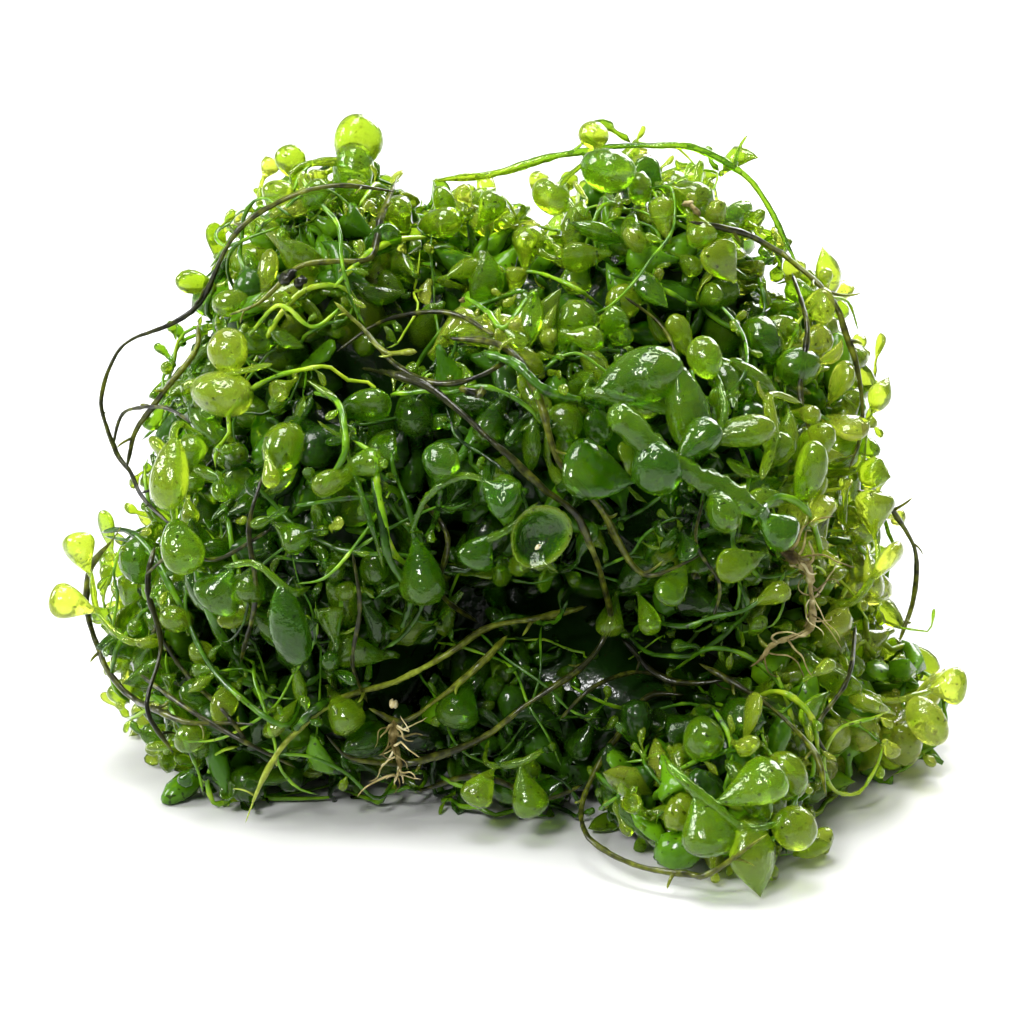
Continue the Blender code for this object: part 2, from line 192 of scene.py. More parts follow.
@dataclass(frozen=True)
class FleshFinish(WetFinish):
    """Seaweed flesh, grown and wet: a watery gel in a thin green skin under a film of sea water.

    Light enters it and comes out yellow-green, so bladders glow where light stands behind them. Its
    colour goes from deep green to lime, and which bladder gets which is painted: deep green as
    painted shade on shaded bladders, lime as painted glow on thin ones at the rim.
    """

    name: str = "seaweed_flesh_wet"
    stops: Stops = ((0.0, "1a3a0a"), (0.28, "508a0c"), (0.5, "8cba1c"), (0.75, "b2ce28"), (1.0, "dae654"))
    # Patches of paler and darker flesh are about 7 mm wide, and its mottling about 0.8 mm.
    shifts: tuple[Shift, ...] = (Shift(7.0 * MM, 2.0, 0.45), Shift(0.8 * MM, 3.0, 0.16))
    # Wet flesh has an IOR near 1.36. Its skin shines less where the film of water lies on it.
    roughness: float = 0.17
    ior: float = 1.24
    film: float = 0.9
    film_roughness: float = 0.045
    ripple_width: float = 0.8 * MM
    ripple_height: float = 0.09 * MM
    scatter: float = 0.0
    scatter_reach: Place = (0.9, 1.0, 0.18)
    scatter_scale: float = 1.6 * MM
    clearness: float = 0.8
    # Dark specks, grown on by algae, are about 0.25 mm wide and 1 to 2 mm apart.
    speck_width: float = 0.55 * MM
    speck_depth: float = 0.75
    speck_colour: str = "1a1c08"

    def marked(self, tree: Tree, place: Socket, colour: Socket) -> Socket:
        """Adds the dark specks, which are the peaks of a fine noise.

        Args:
            tree: The material's node tree.
            place: The place on the object.
            colour: The flesh's colour.

        Returns:
            The colour with its specks.
        """
        scale = {"Scale": 1.0 / self.speck_width, "Detail": 0.0}
        dots = add_node(tree, "ShaderNodeTexNoise", scale, {"Vector": place}).outputs["Fac"]
        edge = {"interpolation_type": "SMOOTHSTEP", "From Min": 0.74, "From Max": 0.8}
        edge["To Max"] = self.speck_depth
        specks = add_node(tree, "ShaderNodeMapRange", edge, {"Value": dots}).outputs["Result"]
        dark = {"data_type": "RGBA", 7: linear(self.speck_colour)}
        return add_node(tree, "ShaderNodeMix", dark, {0: specks, 6: colour}).outputs[2]

    def constants(self) -> dict[str, float | Place]:
        """Adds what lets light into the flesh and through it."""
        return super().constants() | {
            "Subsurface Weight": self.scatter,
            "Subsurface Radius": self.scatter_reach,
            "Subsurface Scale": self.scatter_scale,
            "Transmission Weight": self.clearness,
        }


@dataclass(frozen=True)
class BarkFinish(WetFinish):
    """Old runner skin, grown: smooth and wet, brown-black where old and olive where young.

    Its colour goes from black-brown over olive to pale green. Fine darker flecks show its age, and
    its ripple is the wrinkles of the skin.
    """

    name: str = "runner_skin_wet"
    stops: Stops = ((0.0, "0e1006"), (0.25, "26290b"), (0.5, "565d14"), (0.75, "84922a"), (1.0, "b4c450"))
    # Flecks are about 1.1 mm long, and the skin's fine wrinkles about 0.35 mm apart.
    shifts: tuple[Shift, ...] = (Shift(1.1 * MM, 4.0, 0.9),)
    roughness: float = 0.3
    ior: float = 1.15
    film: float = 0.9
    film_roughness: float = 0.05
    ripple_width: float = 0.35 * MM
    ripple_height: float = 0.045 * MM


# The flesh of the fronds' large bladders: thicker, so it scatters a little, and with deeper ripples.
LARGE_FLESH = FleshFinish(name="seaweed_flesh_large_wet", scatter=0.05, ripple_height=0.17 * MM)

# Green stems: firm, darker and with no light through them.
STEM_FLESH = FleshFinish(
    name="seaweed_stem_wet",
    stops=((0.0, "122a06"), (0.28, "386208"), (0.5, "6c9a12"), (0.75, "a6be24"), (1.0, "d6de4c")),
    roughness=0.25,
    clearness=0.0,
)

# Bladders deep in the heap: less wet and with no light through them; their darker stops are painted shade.
SHADED_FLESH = FleshFinish(
    name="seaweed_flesh_shaded",
    stops=((0.0, "102606"), (0.28, "345e08"), (0.5, "5c8c0c"), (0.75, "8cac1a"), (1.0, "bccc38")),
    roughness=0.27,
    ior=1.2,
    clearness=0.0,
    film=0.6,
)

# Root fibre: tan, rough and only damp, with its wrinkles deeper.
ROOT_FINISH = BarkFinish(
    name="root_fibre_damp",
    stops=((0.0, "2a220c"), (0.3, "5c5128"), (0.6, "938656"), (0.85, "bbae7c"), (1.0, "d8cea6")),
    shifts=(Shift(1.1 * MM, 4.0, 1.1),),
    roughness=0.55,
    film=0.3,
    film_roughness=0.2,
    ripple_height=0.12 * MM,
)


def unit(rows: Array) -> Array:
    """Gives each row its length of 1."""
    return rows / np.maximum(np.linalg.norm(rows, axis=-1, keepdims=True), 1e-12)


def across_of(rows: Array, rng: Rng) -> Array:
    """Gives a random unit direction square to each row."""
    loose = rng.normal(size=rows.shape)
    return unit(loose - (loose * rows).sum(-1, keepdims=True) * rows)


def turns(sides: int) -> Array:
    """Gives the turn of each of a ring's points, in radians."""
    return np.arange(sides) * 2.0 * math.pi / sides


def cubic(start: Array, leave: Array, end: Array, arrive: Array, t: Array) -> Array:
    """Gives points of the cubic curve from start to end, whose speeds there are leave and arrive.

    It is (2 t^3 - 3 t^2 + 1) start + (t^3 - 2 t^2 + t) leave + (3 t^2 - 2 t^3) end + (t^3 - t^2)
    arrive, with t from 0 to 1.
    """
    return (
        (2 * t**3 - 3 * t**2 + 1) * start
        + (t**3 - 2 * t**2 + t) * leave
        + (3 * t**2 - 2 * t**3) * end
        + (t**3 - t**2) * arrive
    )


def along(points: Array, step: float) -> Array:
    """Gives points on a smooth curve through the given ones, ends included.

    Between two of them it is the cubic whose speed at each is half the way between its neighbours.

    Args:
        points: (n, 3).
        step: About how far apart the curve's points are.

    Returns:
        The curve's points, (m, 3).
    """
    before = np.vstack([2.0 * points[0] - points[1], points[:-1]])
    after = np.vstack([points[1:], 2.0 * points[-1] - points[-2]])
    speeds = 0.5 * (after - before)
    rows = []
    for start, end, leave, arrive in zip(points, points[1:], speeds, speeds[1:]):
        pieces = max(1, round(float(np.linalg.norm(end - start)) / step))
        t = (np.arange(pieces) / pieces)[:, None]
        rows.append(cubic(start, leave, end, arrive, t))
    return np.vstack([*rows, points[-1:]])


def smooth(value: Array, low: float, high: float) -> Array:
    """Goes smoothly from 0 at low to 1 at high: 3 t^2 - 2 t^3, t the share of the way."""
    t = np.clip((value - low) / (high - low), 0.0, 1.0)
    return t * t * (3.0 - 2.0 * t)


def smooth_noise(count: int, reach: int, rng: Rng) -> Array:
    """Gives noise of about unit height that changes over a reach of so many points."""
    knots = rng.normal(size=max(3, count // reach + 2))
    return np.interp(np.linspace(0, len(knots) - 1, count), np.arange(len(knots)), knots)


def wander(path: Array, height: float, rng: Rng) -> Array:
    """Gives small smooth sideways moves of a path's points, none at its ends."""
    moves = np.stack([smooth_noise(len(path), 8, rng) for _ in range(3)], axis=1)
    return moves * height * np.sin(math.pi * np.linspace(0.0, 1.0, len(path)))[:, None]


@dataclass
class Tubes:
    """Closed tubes of one grid size.

    A ring's point at turn t is its middle plus r(t) (cos t U + f sin t V), where U is the direction
    across carried along the path without twist, V is square to it and to the path, f is the
    flatness and r(t) the ring's radius times its ripple at that turn.

    Attributes:
        paths: Middles of the rings, (tubes, rings, 3). The first and last are the poles.
        radii: Radius of each ring, (tubes, rings). Those of the poles aren't read.
        across: A direction for each tube that isn't along it, (tubes, 3).
        flatness: Thickness over width of each tube, (tubes,).
        sides: Points round each ring.
        ripeness: The colour attribute of each ring, (tubes, rings): the own tone, and on bladders and stems
            also painted glow and painted shade.
        ripple: Factor of the radius at each point, (tubes, rings, sides), or None for 1.
        finish: Which of the piece's finishes they have.
        moves: How far each ring is moved in the end, (tubes, rings, 3), or None.
    """

    paths: Array
    radii: Array
    across: Array
    flatness: Array
    sides: int
    ripeness: Array
    ripple: Array | None = None
    finish: int = 0
    moves: Array | None = None

    def points(self) -> Array:
        """Works out the tubes' points.

        Returns:
            Each tube's points, (tubes, points, 3): a pole, the rings in order and a pole.
        """
        ahead = unit(np.gradient(self.paths, axis=1))
        first = np.empty_like(self.paths)
        current = self.across
        for ring in range(self.paths.shape[1]):
            tangent = ahead[:, ring]
            current = unit(current - (current * tangent).sum(-1, keepdims=True) * tangent)
            first[:, ring] = current
        second = np.cross(ahead, first) * self.flatness[:, None, None]
        turn = turns(self.sides)[:, None]
        spokes = np.cos(turn) * first[:, 1:-1, None] + np.sin(turn) * second[:, 1:-1, None]
        reach = self.radii[:, 1:-1, None]
        if self.ripple is not None:
            reach = reach * self.ripple[:, 1:-1]
        middles = self.paths if self.moves is None else self.paths + self.moves
        rings = middles[:, 1:-1, None] + spokes * np.broadcast_to(reach[..., None], spokes.shape)
        return np.concatenate([middles[:, :1], rings.reshape(len(middles), -1, 3), middles[:, -1:]], axis=1)

    def faces(self) -> tuple[Array, Array]:
        """Numbers the points of one tube's faces, which face outwards.

        Returns:
            Its quads, (n, 4), and the triangles round its poles, (m, 3).
        """
        bands, sides = self.paths.shape[1] - 3, self.sides
        ring = 1 + np.arange(bands + 1)[:, None] * sides
        side = np.arange(sides)
        after = (side + 1) % sides
        near, far = ring[:-1], ring[1:]
        quads = np.stack([near + side, near + after, far + after, far + side], -1).reshape(-1, 4)
        last = 1 + (bands + 1) * sides
        start = np.stack([np.zeros_like(side), 1 + after, 1 + side], -1)
        end = np.stack([np.full_like(side, last), ring[-1] + side, ring[-1] + after], -1)
        return quads, np.concatenate([start, end])

    def places(self) -> tuple[Array, Array]:
        """Lays one tube out on its own unit square, its turn to the right and its length upwards.

        Returns:
            The corners of its quads, (n, 4, 2), and of its triangles, (m, 3, 2), as in faces.
        """
        bands, sides = self.paths.shape[1] - 3, self.sides
        rows = (np.arange(bands + 1) + 1.0) / (bands + 2.0)
        left, right = np.arange(sides) / sides, (np.arange(sides) + 1.0) / sides
        u0, u1, low, high = np.broadcast_arrays(left, right, rows[:-1, None], rows[1:, None])
        quads = np.stack([u0, low, u1, low, u1, high, u0, high], -1).reshape(-1, 4, 2)
        middle, one = 0.5 * (left + right), np.ones(sides)
        first, last = rows[0] * one, rows[-1] * one
        start = np.stack([middle, 0 * one, right, first, left, first], -1).reshape(-1, 3, 2)
        end = np.stack([middle, one, left, last, right, last], -1).reshape(-1, 3, 2)
        return quads, np.concatenate([start, end])

    def tones(self) -> Array:
        """Gives the colour attribute of each of the tubes' points, in their order."""
        rings = np.repeat(self.ripeness[:, 1:-1], self.sides, axis=1)
        return np.concatenate([self.ripeness[:, :1], rings, self.ripeness[:, -1:]], axis=1).ravel()

    def weight(self) -> int:
        """Gives the number of points in all tubes, by which they share a bake map."""
        return len(self.paths) * self.paths.shape[1] * self.sides


Batches = dict[int, list[Tubes]]


@dataclass
class Lump(Tubes):
    """A closed lump on the grid of one tube, whose points are given.

    Attributes:
        grid: Its points in the tube's order, (1, points, 3).
    """

    grid: Array | None = None

    def points(self) -> Array:
        """Gives the lump's points."""
        return self.grid


@dataclass
class MeshArrays:
    """A mesh as whole arrays.

    Its points and their colour attribute, the point at each corner, face after face, how many
    corners each face has, each corner's place on the bake map, and each face's finish.
    """

    points: Array
    ripeness: Array
    corners: Array
    sizes: Array
    places: Array
    finishes: Array


@dataclass
class Piece:
    """One named piece: tubes in batches of one grid size each, joined in one mesh.

    Attributes:
        floor: Lowest height of any point. What would go lower lies flat on it.
        cell_rim: The empty rim of each tube's cell on the bake map, as a share of the cell.
    """

    name: str
    batches: list[Tubes] = field(default_factory=list)
    floor: float = 0.05 * MM
    cell_rim: float = 0.06

    def joined(self) -> MeshArrays:
        """Joins the tubes.

        On the bake map each batch has a band as high as its share of the points, and each tube a
        cell of its own in that band.

        Returns:
            The arrays of the whole mesh.
        """
        batches = [tubes for tubes in self.batches if len(tubes.paths)]
        points, ripeness, corners, sizes, places, finishes = [], [], [], [], [], []
        first, band = 0, 0.0
        whole = sum(tubes.weight() for tubes in batches)
        for tubes in batches:
            rows = tubes.points()
            count, each = rows.shape[:2]
            points.append(rows.reshape(-1, 3))
            ripeness.append(tubes.tones())
            offsets = first + np.arange(count) * each
            height = tubes.weight() / whole
            across = max(1, math.ceil(math.sqrt(count / height)))
            down = math.ceil(count / across)
            cell = np.array([1.0 / across, height / down])
            index = np.arange(count)
            corner = np.stack([index % across, index // across], -1) * cell + (0.0, band)
            for shape, place in zip(tubes.faces(), tubes.places()):
                corners.append((offsets[:, None, None] + shape).ravel())
                sizes.append(np.full(count * len(shape), shape.shape[1]))
                finishes.append(np.full(count * len(shape), tubes.finish))
                inner = self.cell_rim + (1.0 - 2.0 * self.cell_rim) * place
                places.append((corner[:, None, None] + inner * cell).reshape(-1, 2))
            first += count * each
            band += height
        return MeshArrays(*map(np.concatenate, (points, ripeness, corners, sizes, places, finishes)))

    def build(self, materials: tuple[Material, ...], slot: str, stands_for: tuple[str, ...] = ()) -> Object:
        """Makes the mesh object with its attribute, its bake map and its finishes.

        Args:
            materials: The finishes.
            slot: The record's material slot. It is not used.
            stands_for: The CAD nodes that this piece replaces.

        Returns:
            The new object, which rides on the one body.
        """
        arrays = self.joined()
        arrays.points[:, 2] = np.maximum(arrays.points[:, 2], self.floor)
        mesh = bpy.data.meshes.new(self.name)
        mesh.vertices.add(len(arrays.points))
        mesh.vertices.foreach_set("co", arrays.points.astype(np.float32).ravel())
        mesh.loops.add(len(arrays.corners))
        mesh.loops.foreach_set("vertex_index", arrays.corners.astype(np.int32))
        mesh.polygons.add(len(arrays.sizes))
        starts = np.concatenate([[0], np.cumsum(arrays.sizes)[:-1]])
        mesh.polygons.foreach_set("loop_start", starts.astype(np.int32))
        mesh.update(calc_edges=True)
        mesh.shade_smooth()
        # The colour attribute: the own tone, and on the flesh also painted glow and painted shade.
        attribute = mesh.attributes.new("ripeness", "FLOAT", "POINT")
        attribute.data.foreach_set("value", arrays.ripeness.astype(np.float32))
        layer = mesh.uv_layers.new(name="OFBake", do_init=False)
        layer.uv.foreach_set("vector", arrays.places.astype(np.float32).ravel())
        for material in materials:
            mesh.materials.append(material)
        mesh.polygons.foreach_set("material_index", arrays.finishes.astype(np.int32))
        obj = bpy.data.objects.new(self.name, mesh)
        bpy.context.scene.collection.objects.link(obj)
        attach(obj, BODY)
        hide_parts(*stands_for)
        log.info("%s: %d triangles", self.name, int((arrays.sizes - 2).sum()))
        return obj


class Form(Enum):
    """The forms that bladders grow in."""

    BALL = "ball"
    PEAR = "pear"
    CLUB = "club"
    PAD = "pad"
    HORN = "horn"
    CUP = "cup"
    TWIN = "twin"


@dataclass(frozen=True)
class Outline:
    """A bladder's profile: radius = R C x^rise (1 - x^crown)^close, x from its neck to its tip.

    C makes the widest radius R. A close of 0.5 gives a round tip and over 1 a pointed one.

    Attributes:
        share: The form's share of the small bladders.
        rise: How slowly it widens from its neck.
        crown: How near its tip it is widest.
        close: How its tip closes.
        slimness: Length over width.
        flatness: Thickness over width.
        bend: Sideways bend over half its length.
        dip: How far its end is pushed in, as a share of its length.
    """

    share: float
    rise: float
    crown: float
    close: float
    slimness: float
    flatness: float
    bend: float
    dip: float = 0.0

    def radii(self, x: Array) -> Array:
        """Gives the radius at each x as a share of the widest.

        Args:
            x: Places from the neck, 0, to the tip, 1.

        Returns:
            The shares.
        """
        fine = np.linspace(0.0, 1.0, 200)
        widest = (fine**self.rise * (1.0 - fine**self.crown) ** self.close).max()
        return x**self.rise * (1.0 - x**self.crown) ** self.close / widest

    def rings(self, count: int) -> Array:
        """Spreads rings from neck to tip, closer where the profile turns: late where it has a dip.

        Args:
            count: How many rings.

        Returns:
            Their places x, (count,).
        """
        if self.dip:
            return 1.0 - (1.0 - (np.arange(count) + 0.5) / (count + 0.2)) ** 2.4
        return 0.5 - 0.5 * np.cos(math.pi * (np.arange(count) + 0.6) / (count + 0.35))

    def pushed(self, x: Array) -> Array:
        """Tells how far each ring is pushed by the dip, as a share of the length.

        It is -dip (1 - radius^2) past the widest ring, and nothing up to it.

        Args:
            x: The rings' places, from the neck, 0, to the tip, 1.

        Returns:
            The shares, below 0 for a push back towards the neck.
        """
        radii = self.radii(x)
        push = -self.dip * (1.0 - radii**2)
        push[: radii.argmax() + 1] = 0.0
        return push


BALL, PEAR, CLUB, PAD, HORN, CUP, TWIN = Form

OUTLINES = {
    BALL: Outline(0.1, 0.5, 1.2, 0.5, 1.1, 0.95, 0.06),
    PEAR: Outline(0.2, 1.1, 3.2, 0.5, 1.55, 0.9, 0.15),
    CLUB: Outline(0.14, 0.55, 2.6, 0.5, 2.1, 0.85, 0.3),
    PAD: Outline(0.22, 0.9, 2.4, 0.5, 1.5, 0.34, 0.35),
    HORN: Outline(0.14, 0.8, 1.6, 1.25, 2.0, 0.7, 0.45),
    CUP: Outline(0.12, 1.2, 14.0, 0.5, 1.15, 0.85, 0.12, 0.42),
    TWIN: Outline(0.08, 0.62, 1.9, 0.55, 1.6, 0.9, 0.1),
}


@dataclass
class Bladders:
    """Bladders on their stalks, as whole arrays.

    Attributes:
        feet: Where each stalk leaves its stem, (n, 3).
        middles: The bladders' middles, (n, 3).
        axes: The unit direction of each from neck to tip, (n, 3).
        radii: Half of each one's width, (n,).
        waves: Waves round a ring: how many, how high as a share of its radius, and how many
            radians they may turn on the way to the tip.
    """

    feet: Array
    middles: Array
    axes: Array
    radii: Array
    forms: Array
    ripeness: Array
    stalk: float = 0.36 * MM
    lengths: tuple[float, float] = (0.88, 1.15)
    waves: tuple[Place, ...] = ((0, 0.08, 8.0), (1, 0.11, 6.0), (2, 0.11, 3.0), (3, 0.06, 3.0))

    def tubes(self, rng: Rng, layer: Layer) -> list[Tubes]:
        """Makes the tubes of one layer's bladders, in one batch for each form."""
        groups = [(OUTLINES[form], np.flatnonzero(self.forms == form)) for form in Form]
        return [self.batch(outline, own, rng, layer) for outline, own in groups if len(own)]

    def batch(self, outline: Outline, own: Array, rng: Rng, layer: Layer) -> Tubes:
        """Makes the tubes of the bladders of one form.

        The stalk is a cubic from its foot to the bladder's neck, where it meets the bladder's own
        axis. The bladder's middle line is neck + 2 h x axis + 4 b h x (1 - x) aside, where h is half
        its length and b its bend.

        Args:
            outline: The form's profile.
            own: Numbers of the bladders, (n,).
            rng: Random source.
            layer: Their layer, whose grid and finish they have.

        Returns:
            The tubes, each a stalk and its bladder.
        """
        count, sides = len(own), layer.sides
        x = outline.rings(layer.rings)
        feet, middles, axes = self.feet[own], self.middles[own], self.axes[own]
        width = self.radii[own, None]
        half = width * outline.slimness * rng.uniform(*self.lengths, width.shape)
        aside = across_of(axes, rng)
        necks = middles - axes * half
        reach = np.linalg.norm(necks - feet, axis=1, keepdims=True)
        leave = unit(necks - feet + 0.5 * reach * aside) * reach
        on_stalk = np.array([0.0, 0.4, 0.8])[:, None]
        stalks = cubic(feet[:, None], leave[:, None], necks[:, None], (axes * reach)[:, None], on_stalk)
        xs = np.append(x, 1.0)[None, :, None]
        bend = outline.bend * rng.uniform(-1.0, 1.0, (count, 1, 1))
        body = (
            necks[:, None]
            + 2.0 * half[:, None] * xs * axes[:, None]
            + bend * half[:, None] * 4.0 * xs * (1.0 - xs) * aside[:, None]
        )
        flare = np.tile([self.stalk, self.stalk * 1.35, self.stalk * 0.9], (count, 1))
        swell = np.maximum(width * outline.radii(x), self.stalk * (1.0 - x))
        radii = np.concatenate([flare, swell, np.zeros((count, 1))], axis=1)
        ripple = self.ripple(count, radii.shape[1], sides, rng)
        shift = np.zeros_like(radii)
        shift[:, flare.shape[1] :] = outline.pushed(np.append(x, 1.0)) * 2.0 * half
        flatness = np.minimum(outline.flatness * rng.uniform(0.85, 1.1, count), 1.0)
        return Tubes(
            np.concatenate([stalks, body], axis=1),
            radii,
            across_of(axes, rng),
            flatness,
            sides,
            self.ripeness[own, None] + np.linspace(-0.06, 0.08, radii.shape[1]),
            ripple,
            layer.finish,
            shift[:, :, None] * axes[:, None],
        )

    def ripple(self, count: int, rings: int, sides: int, rng: Rng) -> Array:
        """Ripples the rings, so that no bladder is quite round.

        The factor is 1 + the sum over the waves of height cos(waves turn + start + twist x).

        Args:
            count: How many bladders.
            rings: Rings of each tube.
            sides: Points round each ring.
            rng: Random source.

        Returns:
            Factor of the radius at each point, (count, rings, sides).
        """
        x = np.linspace(0.0, 1.0, rings)[None, :, None]
        ripple = np.ones((count, rings, sides))
        for waves, height, twisting in self.waves:
            start = rng.uniform(0.0, 2.0 * math.pi, (count, 1, 1))
            twist = rng.uniform(-twisting, twisting, (count, 1, 1))
            lift = height * rng.uniform(0.3, 1.4, (count, 1, 1))
            ripple += lift * np.cos(waves * turns(sides) + start + twist * x)
        return ripple


def mesh_arrays(obj: Object) -> tuple[Array, Array]:
    """Reads a CAD node's points and triangles, with the points of neighbouring triangles made one.

    Args:
        obj: The node's object.

    Returns:
        Points in metres, (n, 3), and triangles, (m, 3).
    """
    mesh = obj.data
    mesh.calc_loop_triangles()
    points = np.empty(len(mesh.vertices) * 3)
    mesh.vertices.foreach_get("co", points)
    corners = np.empty(len(mesh.loop_triangles) * 3, np.int32)
    mesh.loop_triangles.foreach_get("vertices", corners)
    points = points.reshape(-1, 3)
    grid = np.round(points / (0.01 * MM))
    _, first, same = np.unique(grid, axis=0, return_index=True, return_inverse=True)
    return points[first], same.reshape(-1)[corners].reshape(-1, 3)


def centreline(obj: Object, step: float) -> tuple[Array, float]:
    """Reads the middle line of a CAD tube.

    Its points form rings. Those of one ring lie close together, and longer edges join the rings.

    Args:
        obj: The node's object.
        step: Distance of the points of the line.

    Returns:
        The line's points in order, and the tube's radius.
    """
    longest_in_ring = 1.05 * MM
    points, faces = mesh_arrays(obj)
    edges = np.unique(np.sort(np.concatenate([faces[:, :2], faces[:, 1:], faces[:, ::2]]), axis=1), axis=0)
    lengths = np.linalg.norm(points[edges[:, 0]] - points[edges[:, 1]], axis=1)
    short = edges[lengths < longest_in_ring]
    ring = np.arange(len(points))
    for _ in range(len(points)):
        least = ring.copy()
        np.minimum.at(least, short[:, 0], ring[short[:, 1]])
        np.minimum.at(least, short[:, 1], ring[short[:, 0]])
        if (least == ring).all():
            break
        ring = least
    names, ring = np.unique(ring, return_inverse=True)
    ring = ring.reshape(-1)
    middles = np.stack([points[ring == number].mean(axis=0) for number in range(len(names))])
    radius = np.linalg.norm(points - middles[ring], axis=1).mean()
    joins = {tuple(sorted(pair)) for pair in ring[edges].tolist() if pair[0] != pair[1]}
    beside = {number: [] for number in range(len(names))}
    for a, b in joins:
        beside[a].append(b)
        beside[b].append(a)
    order = [next(number for number, others in beside.items() if len(others) == 1)]
    while len(order) < len(names):
        onward = [other for other in beside[order[-1]] if other not in order]
        if not onward:
            break
        order.append(onward[0])
    return along(middles[order], step), float(radius)


@dataclass(frozen=True)
class Lamp:
    """A square soft lamp that is aimed at the heap: its place and side in metres, and its watts."""

    name: str
    place: Place
    size: float
    power: float


@dataclass(frozen=True)
class Studio:
    """A plain pale floor, soft studio light and the camera at the photograph's angle.

    The camera stands 0.42 m from a point in the heap 30 mm over the floor and looks down at 18
    degrees. Its long lens keeps the heap's sides nearly parallel.
    """

    target: Place = (0.0, 0.0, 30.0 * MM)
    distance: float = 0.42
    elevation: float = 18.0
    lens: float = 118.0
    floor_half: float = 6.0
    sky: float = 0.3
    lamps: tuple[Lamp, ...] = (
        Lamp("lamp_top", (-0.1, 0.0, 0.75), 0.35, 6.9),
        Lamp("lamp_back", (0.3, 0.6, 0.45), 0.5, 8.7),
        Lamp("lamp_left", (-0.6, 0.05, 0.35), 0.25, 4.1),
        Lamp("lamp_front", (-0.3, -0.6, 0.6), 0.18, 5.6),
    )

    @classmethod
    def view(cls) -> tuple[Array, Array, Array, Array]:
        """Tells from where the picture sees the heap.

        Returns:
            The camera's target, its place, and the directions right and up in its picture.
        """
        down = math.radians(cls.elevation)
        target = np.array(cls.target)
        eye = target + cls.distance * np.array([0.0, -math.cos(down), math.sin(down)])
        return target, eye, np.array([1.0, 0.0, 0.0]), np.array([0.0, math.sin(down), math.cos(down)])

    def build(self) -> None:
        """Makes the floor, the light and the camera, and sets how the picture is shown."""
        self.make_floor()
        self.make_light()
        self.make_camera()
        view = bpy.context.scene.view_settings
        view.view_transform = "Standard"
        view.look = "None"

    def make_floor(self) -> None:
        """Makes a matt white board far wider than the picture."""
        mesh = bpy.data.meshes.new("floor")
        h = self.floor_half
        mesh.from_pydata([(-h, -h, 0), (h, -h, 0), (h, h, 0), (-h, h, 0)], [], [(0, 1, 2, 3)])
        material = bpy.data.materials.new("board_matt_white")
        material.use_nodes = True
        shader = material.node_tree.nodes["Principled BSDF"]
        shader.inputs["Base Color"].default_value = linear("cdcdcc")
        shader.inputs["Roughness"].default_value = 0.6
        mesh.materials.append(material)
        floor = bpy.data.objects.new("floor", mesh)
        bpy.context.scene.collection.objects.link(floor)

    def make_light(self) -> None:
        """Makes a pale sky all round and the soft lamps."""
        world = bpy.data.worlds.new("studio")
        bpy.context.scene.world = world
        world.use_nodes = True
        back = world.node_tree.nodes["Background"]
        back.inputs["Color"].default_value = (1.0, 1.0, 1.0, 1.0)
        back.inputs["Strength"].default_value = self.sky
        for lamp in self.lamps:
            data = bpy.data.lights.new(lamp.name, "AREA")
            data.size = lamp.size
            data.energy = lamp.power
            obj = bpy.data.objects.new(lamp.name, data)
            obj.location = lamp.place
            aim = Vector(self.target) - Vector(lamp.place)
            obj.rotation_euler = aim.to_track_quat("-Z", "Y").to_euler()
            bpy.context.scene.collection.objects.link(obj)

    def make_camera(self) -> None:
        """Makes the camera and aims it at the heap."""
        data = bpy.data.cameras.new("camera")
        data.lens = self.lens
        data.clip_start = 0.01
        camera = bpy.data.objects.new("camera", data)
        down = math.radians(self.elevation)
        back = Vector((0.0, -math.cos(down), math.sin(down)))
        camera.location = Vector(self.target) + back * self.distance
        camera.rotation_euler = (-back).to_track_quat("-Z", "Y").to_euler()
        bpy.context.scene.collection.objects.link(camera)
        bpy.context.scene.camera = camera


